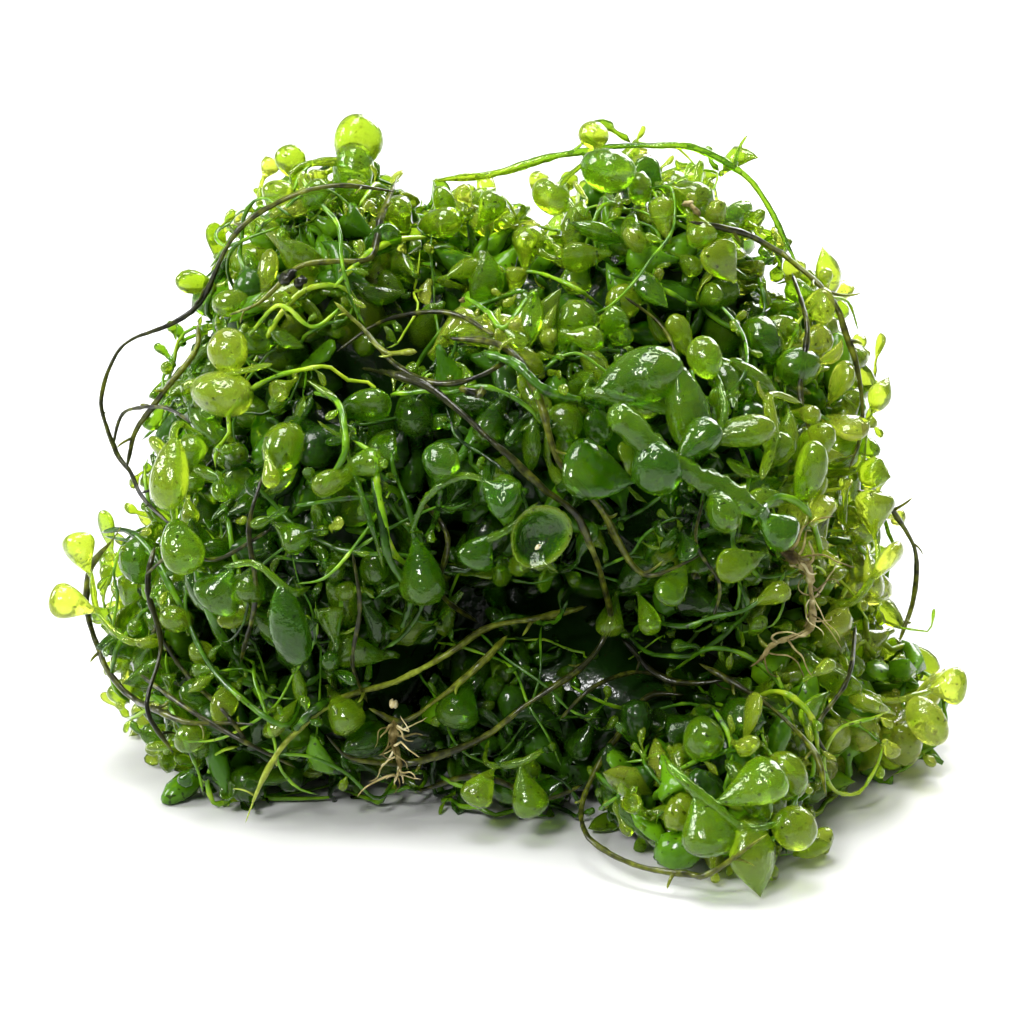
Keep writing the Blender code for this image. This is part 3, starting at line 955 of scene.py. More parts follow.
@dataclass
class Surface:
    """The part of the heap's tufts that shows, as one surface.

    Attributes:
        tufts: Names of the tufts, whose points, (n, 3), and triangles, (m, 3), follow.
        owners: Number of each triangle's tuft, (m,).
        blocked_within: A triangle with something this close outside it doesn't show.
        open_rays: How many rays leave each triangle to find a way out of the heap.
    """

    tufts: list[str]
    points: Array
    faces: Array
    owners: Array
    blocked_within: float = 3.0 * MM
    open_rays: int = 8

    def __post_init__(self) -> None:
        """Finds the triangles that show.

        Nothing of a tuft lies close outside them, and of the rays that leave them at least one gets
        out of the heap.
        """
        corners = self.points[self.faces]
        cross = np.cross(corners[:, 1] - corners[:, 0], corners[:, 2] - corners[:, 0])
        self.areas = 0.5 * np.linalg.norm(cross, axis=1)
        self.normals = unit(cross)
        tree = BVHTree.FromPolygons(self.points.tolist(), self.faces.tolist())
        starts = corners.mean(axis=1) + self.normals * 0.05 * MM
        hits = [
            tree.ray_cast(start, normal, self.blocked_within)[0] is not None
            for start, normal in zip(starts.tolist(), self.normals.tolist())
        ]
        shown = np.flatnonzero(~np.array(hits) & (self.areas > 0))
        loose = np.random.default_rng(5).normal(size=(len(shown), self.open_rays, 3))
        ways = unit(loose + 1.5 * self.normals[shown, None])
        free = [
            any(tree.ray_cast(start, way)[0] is None for way in row)
            for start, row in zip(starts[shown].tolist(), ways.tolist())
        ]
        self.shown = shown[np.array(free)]
        self.tree = BVHTree.FromPolygons(self.points.tolist(), self.faces[self.shown].tolist())

    @classmethod
    def read(cls, names: list[str]) -> Surface:
        """Reads tufts from the frame.

        Args:
            names: Their names.

        Returns:
            Their surface.
        """
        points, faces, owners, first = [], [], [], 0
        for number, name in enumerate(names):
            own_points, own_faces = mesh_arrays(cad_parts[name])
            points.append(own_points)
            faces.append(own_faces + first)
            owners.append(np.full(len(own_faces), number))
            first += len(own_points)
        return cls(names, np.concatenate(points), np.concatenate(faces), np.concatenate(owners))

    def nearest(self, places: Array) -> tuple[Array, Array, Array, Array]:
        """Finds the nearest point of the shown surface to each place.

        Args:
            places: (n, 3).

        Returns:
            The points, their outward directions, the heights of the places over them and the
            numbers of their tufts.
        """
        found = [self.tree.find_nearest(place)[:3] for place in places.tolist()]
        points = np.array([hit[0] for hit in found])
        normals = np.array([hit[1] for hit in found])
        owners = self.owners[self.shown[[hit[2] for hit in found]]]
        return points, normals, ((places - points) * normals).sum(axis=1), owners

    def seen(self, rows: Array, slope: float = math.inf) -> Array:
        """Finds places on the heap's front from where they are seen.

        Args:
            rows: For each place, how far it is seen right of and above the middle of the view, in
                the plane through the camera's target, and how far it stands out from the heap
                towards the camera, (n, 3), in metres.
            slope: How much farther than the place before or after it a place may lie, as a share of
                their distance in the view. One that would lie farther bridges the gap.

        Returns:
            The places, (n, 3).
        """
        target, eye, right, up = Studio.view()
        sights = unit(target + rows[:, :1] * right + rows[:, 1:2] * up - eye)
        hits = [self.tree.ray_cast(eye.tolist(), sight) for sight in sights.tolist()]
        missed = np.linalg.norm(target - eye)
        away = np.array([missed if hit is None else distance for hit, _, _, distance in hits]) - rows[:, 2]
        if slope < math.inf:
            steps = slope * np.linalg.norm(np.diff(rows[:, :2], axis=0), axis=1)
            for i, step in enumerate(steps):
                away[i + 1] = min(away[i + 1], away[i] + step)
            for i, step in reversed(list(enumerate(steps))):
                away[i] = min(away[i], away[i + 1] + step)
        return eye + sights * away[:, None]

    def scattered(self, count: int, rng: Rng) -> tuple[Array, Array, Array]:
        """Scatters places evenly over the shown surface.

        A place in a triangle is (1 - a) A + a (1 - b) B + a b C, with b and a^2 even from 0 to 1.

        Args:
            count: How many.
            rng: Random source.

        Returns:
            Places, their outward directions and the numbers of their tufts.
        """
        areas = self.areas[self.shown]
        chosen = self.shown[rng.choice(len(areas), count, p=areas / areas.sum())]
        a, b = np.sqrt(rng.random(count))[:, None], rng.random(count)[:, None]
        corners = self.points[self.faces[chosen]]
        places = (1 - a) * corners[:, 0] + a * (1 - b) * corners[:, 1] + a * b * corners[:, 2]
        return places, self.normals[chosen], self.owners[chosen]


def painted_glow_and_shade_at(places: Array) -> Array:
    """Tells how lime the flesh is painted at each place, from 0, deep green, to 1.

    It is 0.3 + 0.46 times the largest of four rises: towards the heap's right and left, which fade
    towards the back, towards its top, to the saddle between the two peaks of the crown, and to the
    foot in front. These rises are painted glow, the lime of light that shines through the thin
    bladders there. Low in the middle of the front, painted shade makes it up to 0.16 lower.

    Args:
        places: (n, 3).

    Returns:
        The ripeness, (n,).
    """
    # All lengths here are in millimetres: where a rise starts and ends, and how wide a bell is.
    x, y, z = (places / MM).T
    # Painted glow: these rises stand for light that shines through thin bladders at the rims.
    sides = np.maximum(1.12 * smooth(x, 22.0, 44.0), 0.58 * smooth(-x, 31.0, 52.0))
    sides *= 1.0 - 0.4 * smooth(y, 0.0, 25.0)
    saddle = np.exp(-(((x + 3.0) / 13.0) ** 2)) * smooth(z, 52.0, 62.0)
    top = np.maximum(0.72 * smooth(z, 46.0, 70.0), 1.05 * saddle)
    foot = smooth(-y, 32.0, 46.0)
    # Painted shade: darker low in the middle of the front.
    front = np.exp(-(((x - 4.0) / 17.0) ** 2) - ((z - 20.0) / 14.0) ** 2) * smooth(-y, -8.0, 12.0)
    return 0.3 + 0.46 * np.maximum.reduce([sides, top, 0.8 * foot]) - 0.16 * front * (1.0 - foot)


@dataclass(frozen=True)
class Layer:
    """One layer of the heap's bladders.

    Attributes:
        depths: How deep their middles lie under the tufts' surface, least and most.
        sizes: Shares of the bladders by the range of half their widths.
        sides: Points round each ring.
        rings: Rings of each bladder.
        finish: Which of the piece's finishes they have.
        dimming: Painted shade: how much lower their colour attribute is, most for the deepest layers.
        ripest: Their highest ripeness, which keeps painted glow off the deep layers.
        inward: How much deeper their stalks start, where no stem is near.
    """

    count: int
    depths: tuple[float, float]
    sizes: tuple[tuple[float, float, float], ...]
    sides: int
    rings: int
    dimming: float
    finish: int = 0
    ripest: float = 1.2
    inward: float = 0.0


@dataclass(frozen=True)
class Hollow:
    """A dark hollow in the heap: its middle, its reach and how deep bladders sink in it."""

    middle: Place
    reach: float
    depth: float


HOLLOWS = (
    Hollow((-20 * MM, -12 * MM, 59 * MM), 8 * MM, 8.5 * MM),
    Hollow((-5 * MM, -27 * MM, 36 * MM), 6 * MM, 6 * MM),
    Hollow((6 * MM, -27 * MM, 20 * MM), 9 * MM, 8 * MM),
    Hollow((14 * MM, -22 * MM, 26 * MM), 7 * MM, 6 * MM),
    Hollow((-14 * MM, -24 * MM, 4 * MM), 7 * MM, 5 * MM),
)

# Strands on the heap's front, each as a row of places of three numbers: how far right of and above
# the middle of the view it is seen, and how far it stands out from the heap, in millimetres.
SEEN_STRANDS = (
    (-1, 30, -1, 3, 30, 2, 8, 28, 2, 12, 25, 0),
    (-6, 27, 1, -3, 25, 3, -1, 23, 2, 2, 27, 0),
    (-25, 15, 0, -22, 14, 3, -21, 11, 4, -21, 7, 3, -24, 3, 0),
    (-20, 9, 1, -17, 7, 3, -17, 4, 3, -16, -1, 3, -15, -5, 2, -11, -8, 0),
    (-27, -9, 0, -23, -8, 2, -18, -2, 2, -15, 3, 0),
    (-9, 6, 0, -9, 2, 2, -10, -2, 2, -13, -6, 0),
    (-40, -8, 1, -41, -12, 2, -38, -19, 2, -33, -24, 3, -28, -27, 3, -26, -22, 0),
    (-4, -15, 0, 0, -13, 2, 5, -14, 2, 7, -11, 0),
    (-51, -3, 0, -47, -4, 2, -44, -7, 3, -42, -11, 1),
    (30, -2, 0, 33, 2, 2, 37, 0, 2, 39, -6, 1),
    (20, -20, 0, 25, -17, 2, 31, -19, 2, 36, -25, 0),
    (4, 18, 0, 8, 20, 2, 13, 17, 2, 16, 20, 0),
    (26, 26, 0, 29, 22, 2, 29, 17, 3, 25, 13, 0),
    (-33, 22, 0, -29, 26, 2, -25, 23, 2, -21, 26, 0),
)

# Thicker green stems on the heap's front, as in SEEN_STRANDS.
SEEN_STEMS = (
    (-39.8, -1, 0, -39.2, -8, 3, -37.6, -13, 3, -34.4, -18.6, 3, -31.2, -23, 3, -27.6, -27.6, 2),
    (-51.5, -2.6, 0, -48.5, -2.2, 2, -45.4, -4.6, 3, -42, -10.8, 2, -40, -14, 0),
    (-17.6, 5, 2, -16.2, -1.6, 3, -15.4, -6, 3, -12.6, -10.4, 2, -14, -15, 0),
    (-27.4, -27.4, 2, -24.6, -24.6, 3, -20.6, -22.4, 2, -17.6, -21.4, 0),
    (20.6, 16.8, 1, 23.2, 14.6, 3, 24.6, 11.4, 3, 23.8, 7.2, 1),
    (-22.4, 28, 1, -18.4, 32, 2, -14.6, 34, 2, -10.6, 34.4, 0),
    (-4, 20, 1, 0.4, 18.6, 3, 4.2, 15.2, 3, 9, 14, 1),
    (29, -24, 2, 33.4, -22.4, 3, 37.4, -25.4, 3, 38.4, -30.6, 1),
)

# Thin dark runners on the heap's front, as in SEEN_STRANDS.
SEEN_THIN_RUNNERS = (
    (-40, 11, 2, -43, 13, 3, -47, 13, 3, -49, 12, 3, -50, 8, 3),
    (-30, -2, 1, -37, -6, 3, -42, -5, 3, -46, -8, 3),
    (-45, -14, 2, -41, -20, 3, -36, -25, 2, -33, -29, 1),
    (-47, -20, 2, -40, -25, 2, -33, -29, 2, -27, -32, 1),
    (-31, 5, 1, -33, -2, 2, -32, -10, 2, -34, -19, 1),
    (-20, -5, 1, -19, -12, 2, -20, -19, 2, -18, -24, 0),
    (-12, -35, 2, -4, -33, 2, 4, -36, 2, 9, -34, 1),
    (-18, 22, 1, -14, 18, 2, -9, 16, 2, -4, 17, 2, 1, 20, 0),
    (-22, 20, 1, -16, 24, 2, -8, 25, 2, -2, 22, 1),
    (14, 27, 1, 19, 23, 2, 21, 17, 2, 20, 12, 0),
    (35, 30, 2, 37, 23, 2, 36, 15, 2, 38, 8, 1),
    (24, 2, 1, 23, -4, 2, 26, -9, 2, 25, -14, 1),
    (43, -14, 2, 42, -21, 2, 38, -27, 2, 40, -31, 1),
    (6, -26, 1, 10, -22, 3, 16, -20, 3, 22, -22, 2),
    (-12, 2, 1, -8, -3, 2, -9, -10, 2, -4, -14, 0),
)


@dataclass
class Strands:
    """Thin green stems that wander over the heap, as paths of equally many points.

    Attributes:
        surface: The heap's surface.
        count: How many wander freely.
        heights: How far over the tufts' surface they wander, least and most.
        radii: Their radius, least and most.
        sag: How far one that is seen may lie back between two points, as a share of their distance.
    """

    surface: Surface
    count: int = 300
    points: int = 13
    step: float = 2.3 * MM
    heights: tuple[float, float] = (-4.5 * MM, 1.4 * MM)
    radii: tuple[float, float] = (0.15 * MM, 0.36 * MM)
    sides: int = 6
    lowest: float = 0.6 * MM
    sag: float = 1.2

    def paths(self, rng: Rng) -> Array:
        """Lets all stems grow together by steps over the surface, each turning a little more.

        Args:
            rng: Random source.

        Returns:
            Their paths, (count, points, 3).
        """
        spots, normals, _ = self.surface.scattered(self.count, rng)
        heading = across_of(normals, rng)
        height = rng.uniform(*self.heights, self.count)
        turning = rng.normal(0.0, 0.1, self.count)
        rows = []
        for _ in range(self.points):
            rows.append(spots + normals * height[:, None])
            turning = 0.7 * turning + rng.normal(0.0, 0.2, self.count)
            angle = turning[:, None]
            heading = np.cos(angle) * heading + np.sin(angle) * np.cross(normals, heading)
            ahead = spots + heading * self.step
            spots, normals, _, _ = self.surface.nearest(ahead)
            heading = unit(heading - (heading * normals).sum(-1, keepdims=True) * normals)
            drift = rng.normal(0.0, 1.0 * MM, self.count)
            height = np.clip(height + drift, *self.heights)
        return np.stack(rows, axis=1)

    def placed(self, seen: tuple[tuple[float, ...], ...]) -> Array:
        """Lays strands where they are seen on the heap's front.

        Args:
            seen: The strands, as in SEEN_STRANDS.

        Returns:
            Their paths, (strands, points, 3).
        """
        rows = []
        for strand in seen:
            places = np.array(strand).reshape(-1, 3) * MM
            curve = along(self.surface.seen(places, self.sag), 0.5 * MM)
            pick = np.linspace(0, len(curve) - 1, self.points).round().astype(int)
            rows.append(curve[pick])
        return np.array(rows)

    def tubes(self, paths: Array, rng: Rng, thick: float = 1.0) -> Tubes:
        """Makes the stems' tubes, with twice the points of their paths for smooth bends.

        Args:
            paths: Their paths, (n, points, 3).
            rng: Random source.
            thick: Factor of their thickness.

        Returns:
            The tubes, which taper to both ends.
        """
        fine = np.empty((len(paths), 2 * paths.shape[1] - 1, 3))
        fine[:, ::2] = paths
        fine[:, 1::2] = 0.5 * (paths[:, 1:] + paths[:, :-1])
        fine[:, 1:-1] = 0.25 * fine[:, :-2] + 0.5 * fine[:, 1:-1] + 0.25 * fine[:, 2:]
        fine[..., 2] = np.maximum(fine[..., 2], self.lowest)
        count, rings = fine.shape[:2]
        taper = np.sin(math.pi * np.linspace(0.06, 0.94, rings)) ** 0.35
        radii = rng.uniform(*self.radii, (count, 1)) * taper * rng.uniform(0.8, 1.25, (count, rings)) * thick
        # Painted glow and painted shade by place, scaled down, with a random own tone.
        tone = 0.1 + 0.6 * painted_glow_and_shade_at(fine.mean(axis=1)) + rng.normal(0.0, 0.12, count)
        ripeness = tone[:, None] + rng.normal(0.0, 0.08, (count, rings))
        across = rng.normal(size=(count, 3))
        return Tubes(fine, radii, across, np.ones(count), self.sides, ripeness, finish=2)

    def buds(self, paths: Array, rng: Rng) -> Tubes:
        """Makes the youngest bladders: tiny drops that stand off the stems on both sides.

        Args:
            paths: The stems' paths, (n, points, 3).
            rng: Random source.

        Returns:
            The drops, three for each stem.
        """
        count = 3 * len(paths)
        stem = np.repeat(np.arange(len(paths)), 3)
        spot = rng.integers(1, paths.shape[1] - 1, count)
        feet = paths[stem, spot]
        ahead = unit(paths[stem, spot + 1] - feet)
        axes = unit(across_of(ahead, rng) + 0.5 * ahead)
        x = np.array([0.0, 0.1, 0.3, 0.5, 0.68, 0.85, 0.96, 1.0])
        shape = np.array([0.0, 0.26, 0.3, 0.8, 1.0, 0.86, 0.5, 0.0])
        radii = rng.uniform(0.35 * MM, 0.75 * MM, (count, 1)) * shape
        reach = rng.uniform(1.6 * MM, 3.2 * MM, (count, 1, 1))
        bow = across_of(axes, rng)[:, None] * np.sin(math.pi * x)[None, :, None]
        lines = feet[:, None] + reach * (x[None, :, None] * axes[:, None] + 0.14 * bow)
        ripple = 1.0 + 0.08 * rng.normal(size=(count, len(x), self.sides))
        # Painted glow and painted shade by place, with a random own tone.
        tone = painted_glow_and_shade_at(feet) + 0.1 + rng.normal(0.0, 0.14, count)
        tones = tone[:, None] + 0.1 * x
        across = across_of(axes, rng)
        return Tubes(lines, radii, across, rng.uniform(0.5, 1.0, count), self.sides, tones, ripple)


@dataclass
class Crowd:
    """Bladders of the heap before they have their forms, as whole arrays.

    Their middles, the ways out of the heap there, the numbers of their tufts, half of their widths,
    how deep under the tufts' surface they belong, and the numbers of their layers.
    """

    places: Array
    normals: Array
    owners: Array
    radii: Array
    depths: Array
    layers: Array


@dataclass
class Packing:
    """How crowded bladders are moved apart.

    Attributes:
        overlap: How close two may be, as a share of the sum of their sizes.
        fill: A bladder's size times the overlap, as a share of its radius.
        drawn_every: In every so many rounds they are drawn back to their depths.
        search: How far past touching two may be and still be looked at.
        rest: How high over the floor its middle stays, as a share of its radius.
    """

    overlap: float = 0.84
    fill: float = 0.92
    rounds: int = 36
    drawn_every: int = 6
    drawn_by: float = 1.0 * MM
    search: float = 2.0 * MM
    block: int = 500
    rest: float = 0.75

    def pairs(self, places: Array, sizes: Array, count: int) -> tuple[Array, Array]:
        """Finds the pairs that may come to touch.

        Args:
            places: Bladders and then obstacles, (n, 3).
            sizes: The radius that each takes, (n,).
            count: How many of them are bladders.

        Returns:
            The numbers of each pair's first, a bladder, and second.
        """
        pairs = []
        for start in range(0, count, self.block):
            rows = slice(start, min(start + self.block, count))
            apart = np.linalg.norm(places[rows, None] - places[None], axis=2)
            near = apart < (sizes[rows, None] + sizes[None]) + self.search
            a, b = np.nonzero(near)
            a = a + start
            pairs.append(np.stack([a[a < b], b[a < b]]))
        return tuple(np.concatenate(pairs, axis=1))

    def settle(self, crowd: Crowd, obstacles: Array, surface: Surface) -> None:
        """Moves overlapping bladders apart, and keeps each at its own depth under the surface.

        In each round a pair that is closer than it may be is pushed apart along the line between
        its middles: each bladder by 0.4 of what is missing, or by 0.8 from an obstacle.

        Args:
            crowd: The bladders, whose places and normals are changed.
            obstacles: Places that they keep clear of, with the radius of each, (n, 4).
            surface: The heap's surface.
        """
        count = len(crowd.places)
        every = np.concatenate([crowd.places, obstacles[:, :3]])
        sizes = np.concatenate([crowd.radii / self.overlap * self.fill, obstacles[:, 3]])
        loose = np.arange(len(every)) < count
        a, b = self.pairs(every, sizes, count)
        touch = np.where(loose[b], self.overlap, 1.0) * (sizes[a] + sizes[b])
        share = np.where(loose[b], 0.4, 0.8)[:, None]
        step = self.drawn_by
        for turn in range(self.rounds):
            apart = every[a] - every[b]
            distance = np.linalg.norm(apart, axis=1)
            push = np.clip(touch - distance, 0.0, None)[:, None] * unit(apart) * share
            for axis in range(3):
                move = np.bincount(a, push[:, axis], len(every)) - np.bincount(b, push[:, axis], len(every))
                every[:count, axis] += move[:count]
            drawn = turn % self.drawn_every == self.drawn_every // 2
            if drawn and turn < self.rounds - self.drawn_every:
                _, crowd.normals, height, _ = surface.nearest(every[:count])
                every[:count] += crowd.normals * np.clip(-crowd.depths - height, -step, step)[:, None]
            every[:count, 2] = np.maximum(every[:count, 2], self.rest * crowd.radii)
        crowd.places = every[:count]


@dataclass
class Undergrowth:
    """The tufts' bladders and stems, packed together over the whole heap and then shared out.

    Attributes:
        surface: The heap's surface.
        obstacles: Places that bladders keep clear of, with the radius of each, (n, 4).
        most_stalk: How far from a stem a bladder may grow on it.
        lean: How far a bladder on a stem leans out of its stalk's line.
        slim_radius: Largest radius of the slim forms.
        clump_waves: Directions of the waves that part the bladders into clumps.
        core_depth: How deep under the heap's surface the dark masses end.
        overreach: How far they grow out of their own tuft where another hides it.
        ray_start: How far outside the heap the rays that find their tuft's skin start.
    """

    surface: Surface
    obstacles: Array
    seed: int = 7
    # The deeper layers are painted darker by their dimming, as painted shade.
    layers: tuple[Layer, ...] = (
        Layer(
            count=1950,
            depths=(-0.2 * MM, 4.2 * MM),
            sizes=((0.28, 0.6 * MM, 1.0 * MM), (0.44, 1.0 * MM, 1.8 * MM), (0.28, 1.8 * MM, 2.8 * MM)),
            sides=10,
            rings=7,
            dimming=0.0,
        ),
        Layer(
            count=240,
            depths=(-2.6 * MM, -0.4 * MM),
            sizes=((1.0, 0.6 * MM, 1.6 * MM),),
            sides=10,
            rings=7,
            dimming=-0.08,
            inward=3.0,
        ),
        Layer(
            count=1500,
            depths=(4.8 * MM, 7.4 * MM),
            sizes=((0.4, 1.0 * MM, 1.6 * MM), (0.6, 1.6 * MM, 2.7 * MM)),
            sides=8,
            rings=5,
            dimming=0.16,
            finish=1,
            ripest=0.44,
        ),
        Layer(
            count=700,
            depths=(7.6 * MM, 9.5 * MM),
            sizes=((1.0, 1.8 * MM, 3.0 * MM),),
            sides=7,
            rings=4,
            dimming=0.32,
            finish=1,
            ripest=0.44,
        ),
    )
    packing: Packing = field(default_factory=Packing)
    most_stalk: float = 6.5 * MM
    lean: float = 0.55
    slim_radius: float = 1.9 * MM
    clump_waves: tuple[Place, ...] = (
        (0.9, 0.3, -0.4),
        (-0.4, 0.9, 0.7),
        (0.3, -0.5, 1.0),
        (-0.8, -0.6, 0.5),
    )
    clump_width: float = 1.9 * MM
    clump_height: float = 0.75 * MM
    core_depth: float = 7.0 * MM
    overreach: float = 4.0 * MM
    ray_start: float = 80.0 * MM

    def build(self) -> Batches:
        """Packs and shapes all bladders.

        Returns:
            The batches of tubes by the number of the tuft that they grow on.
        """
        rng = np.random.default_rng(self.seed)
        strands = Strands(self.surface)
        free, placed = strands.paths(rng), strands.placed(SEEN_STRANDS)
        stems = strands.placed(SEEN_STEMS)
        crowd = self.crowd(rng)
        self.packing.settle(crowd, self.obstacles, self.surface)
        batches = self.shaped(crowd, np.concatenate([free, placed, stems]), rng)
        for paths, thick in ((free, 1.0), (placed, 1.25), (stems, 2.3)):
            self.share_strands(strands, paths, thick, batches, rng)
        self.add_cores(batches, rng)
        return batches

    def crowd(self, rng: Rng) -> Crowd:
        """Scatters the bladders of all layers.

        Args:
            rng: Random source.

        Returns:
            The bladders, which still overlap.
        """
        parts = []
        for number, kind in enumerate(self.layers):
            spots, up, tuft = self.surface.scattered(kind.count, rng)
            deep = rng.uniform(*kind.depths, kind.count) + self.sinking(spots)
            shares = np.array([share for share, _, _ in kind.sizes])
            ranges = np.array([(least, most) for _, least, most in kind.sizes])
            pick = ranges[rng.choice(len(shares), kind.count, p=shares / shares.sum())]
            size = rng.uniform(pick[:, 0], pick[:, 1])
            deep += 0.5 * size
            layer = np.full(kind.count, number)
            parts.append((spots - up * deep[:, None], up, tuft, size, deep, layer))
        return Crowd(*map(np.concatenate, zip(*parts)))

    def sinking(self, spots: Array) -> Array:
        """Tells how much deeper bladders lie at each spot.

        In a hollow that is depth e^-(distance / reach)^2. Between clumps it is a sum of sine waves
        that cross each other.

        Args:
            spots: (n, 3).

        Returns:
            The added depths, (n,).
        """
        deeper = np.zeros(len(spots))
        for hollow in HOLLOWS:
            away = np.linalg.norm(spots - np.array(hollow.middle), axis=1) / hollow.reach
            deeper = np.maximum(deeper, hollow.depth * np.exp(-(away**2)))
        waves = np.array(self.clump_waves).T
        return deeper + self.clump_height * np.sin(spots / self.clump_width @ waves).sum(axis=1)

    def nearest_dots(self, places: Array, dots: Array) -> tuple[Array, Array]:
        """Finds the dot that is nearest to each place.

        Args:
            places: (n, 3).
            dots: (m, 3).

        Returns:
            The dots' numbers and their distances, (n,) each.
        """
        nearest, distance = np.empty(len(places), int), np.empty(len(places))
        for start in range(0, len(places), self.packing.block):
            rows = slice(start, start + self.packing.block)
            apart = np.linalg.norm(places[rows, None] - dots[None], axis=2)
            nearest[rows], distance[rows] = apart.argmin(axis=1), apart.min(axis=1)
        return nearest, distance

    def shaped(self, crowd: Crowd, stems: Array, rng: Rng) -> Batches:
        """Gives each bladder its form, lean and stalk, which grows from the nearest stem.

        Args:
            crowd: The bladders.
            stems: The stems' paths, (stems, points, 3).
            rng: Random source.

        Returns:
            The batches of tubes by the number of their tuft.
        """
        places, normals, layer = crowd.places, crowd.normals, crowd.layers
        count = len(places)
        kinds = np.array(list(Form), dtype=object)
        forms = rng.choice(kinds, count, p=[OUTLINES[form].share for form in Form])
        dots = stems.reshape(-1, 3)
        nearest, distance = self.nearest_dots(places, dots)
        slim = np.isin(forms, [CLUB, PAD, HORN])
        radii = np.where(slim, np.minimum(crowd.radii, self.slim_radius), crowd.radii)
        sideways = across_of(normals, rng)
        away = unit(places - dots[nearest])
        free = unit(sideways + normals * rng.uniform(-0.3, 0.9, count)[:, None])
        bound = (distance < self.most_stalk)[:, None]
        axes = unit(np.where(bound, away + self.lean * free, free))
        deeper, dimming, ripest = (
            np.array([getattr(kind, name) for kind in self.layers])[layer]
            for name in ("inward", "dimming", "ripest")
        )
        inward = -normals * (rng.uniform(1.2, 2.6, count) + deeper)[:, None] * MM
        feet = np.where(bound, dots[nearest], places - axes * (radii * 1.8)[:, None] + inward)
        # Painted glow and painted shade by place, with a random own tone; then painted shade by layer, each
        # layer darker by its dimming and capped at its ripest.
        ripeness = painted_glow_and_shade_at(places) + rng.normal(0.0, 0.15, count)
        ripeness = np.clip(ripeness - dimming, 0.05, ripest)
        batches: Batches = {}
        for tuft in range(len(self.surface.tufts)):
            for number, kind in enumerate(self.layers):
                mine = (crowd.owners == tuft) & (layer == number)
                whole = (feet, places, axes, radii, forms, ripeness)
                group = Bladders(*(rows[mine] for rows in whole))
                batches.setdefault(tuft, []).extend(group.tubes(rng, kind))
        return batches

    def share_strands(
        self,
        strands: Strands,
        paths: Array,
        thick: float,
        batches: Batches,
        rng: Rng,
    ) -> None:
        """Gives each stem to the tuft that its middle is nearest to.

        Args:
            strands: How stems grow.
            paths: Their paths, (n, points, 3).
            thick: Factor of their thickness.
            batches: The tubes by the number of their tuft, to which the stems are added.
            rng: Random source.
        """
        owners = self.surface.nearest(paths[:, paths.shape[1] // 2])[3]
        for tuft in range(len(self.surface.tufts)):
            if (owners == tuft).any():
                batches[tuft].append(strands.tubes(paths[owners == tuft], rng, thick))
                batches[tuft].append(strands.buds(paths[owners == tuft], rng))

    def add_cores(self, batches: Batches, rng: Rng) -> None:
        """Adds a dark mass deep in each tuft and one that they all grow round, near black as painted shade.

        Args:
            batches: The tubes by the number of their tuft, to which the masses are added.
            rng: Random source.
        """
        for tuft, name in enumerate(self.surface.tufts):
            points, faces = mesh_arrays(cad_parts[name])
            tree = BVHTree.FromPolygons(points.tolist(), faces.tolist())
            batches[tuft].append(self.core(points.mean(axis=0), tree, 14, 18, rng))
        base = self.surface.tufts.index("tuft_base")
        batches[base].append(self.core(np.array(HEAP_MIDDLE), self.surface.tree, 26, 32, rng))

    def core(self, middle: Array, tree: BVHTree, rings: int, sides: int, rng: Rng) -> Lump:
        """Makes one dark mass, which fills the heap's depths and is coloured near black as painted shade.

        Its points lie on rays from its middle. Where tufts hide it, it grows into them by
        overreach, and else it lies core_depth under the heap's surface.

        Args:
            middle: Its middle.
            tree: The surface that it fills.
            rings: Its rings, poles included.
            sides: Points round each ring.
            rng: Random source.

        Returns:
            The mass.
        """
        polar = math.pi * np.arange(1, rings - 1) / (rings - 1.0)
        turn = 2.0 * math.pi * np.arange(sides) / sides
        level = -np.cos(polar)[:, None] + 0.0 * turn
        round_about = [np.sin(polar)[:, None] * np.cos(turn), np.sin(polar)[:, None] * np.sin(turn), level]
        rays = np.concatenate(
            [[[0.0, 0.0, -1.0]], np.stack(round_about, -1).reshape(-1, 3), [[0.0, 0.0, 1.0]]]
        )
        far = self.ray_start
        hits = [tree.ray_cast((middle + ray * far).tolist(), (-ray).tolist())[3] for ray in rays]
        reach = far - np.array([far if hit is None else hit for hit in hits])
        reach = reach * rng.uniform(0.9, 1.0, len(rays)) + self.overreach
        for _ in range(6):
            places = middle + rays * reach[:, None]
            shown, _, _, _ = self.surface.nearest(places)
            depth = np.linalg.norm(places - shown, axis=1)
            reach -= np.clip(self.core_depth - depth, 0.0, None)
            reach = np.maximum(reach, 0.4 * MM)
        path = middle + np.linspace(-1.0, 1.0, rings)[:, None] * np.array([0.0, 0.0, MM])
        return Lump(
            path[None],
            np.ones((1, rings)),
            np.array([[1.0, 0.0, 0.0]]),
            np.ones(1),
            sides,
            # Painted shade: a colour attribute far below the darkest stop, so the mass shows near black.
            np.full((1, rings), -0.6),
            finish=1,
            grid=(middle + rays * reach[:, None])[None],
        )


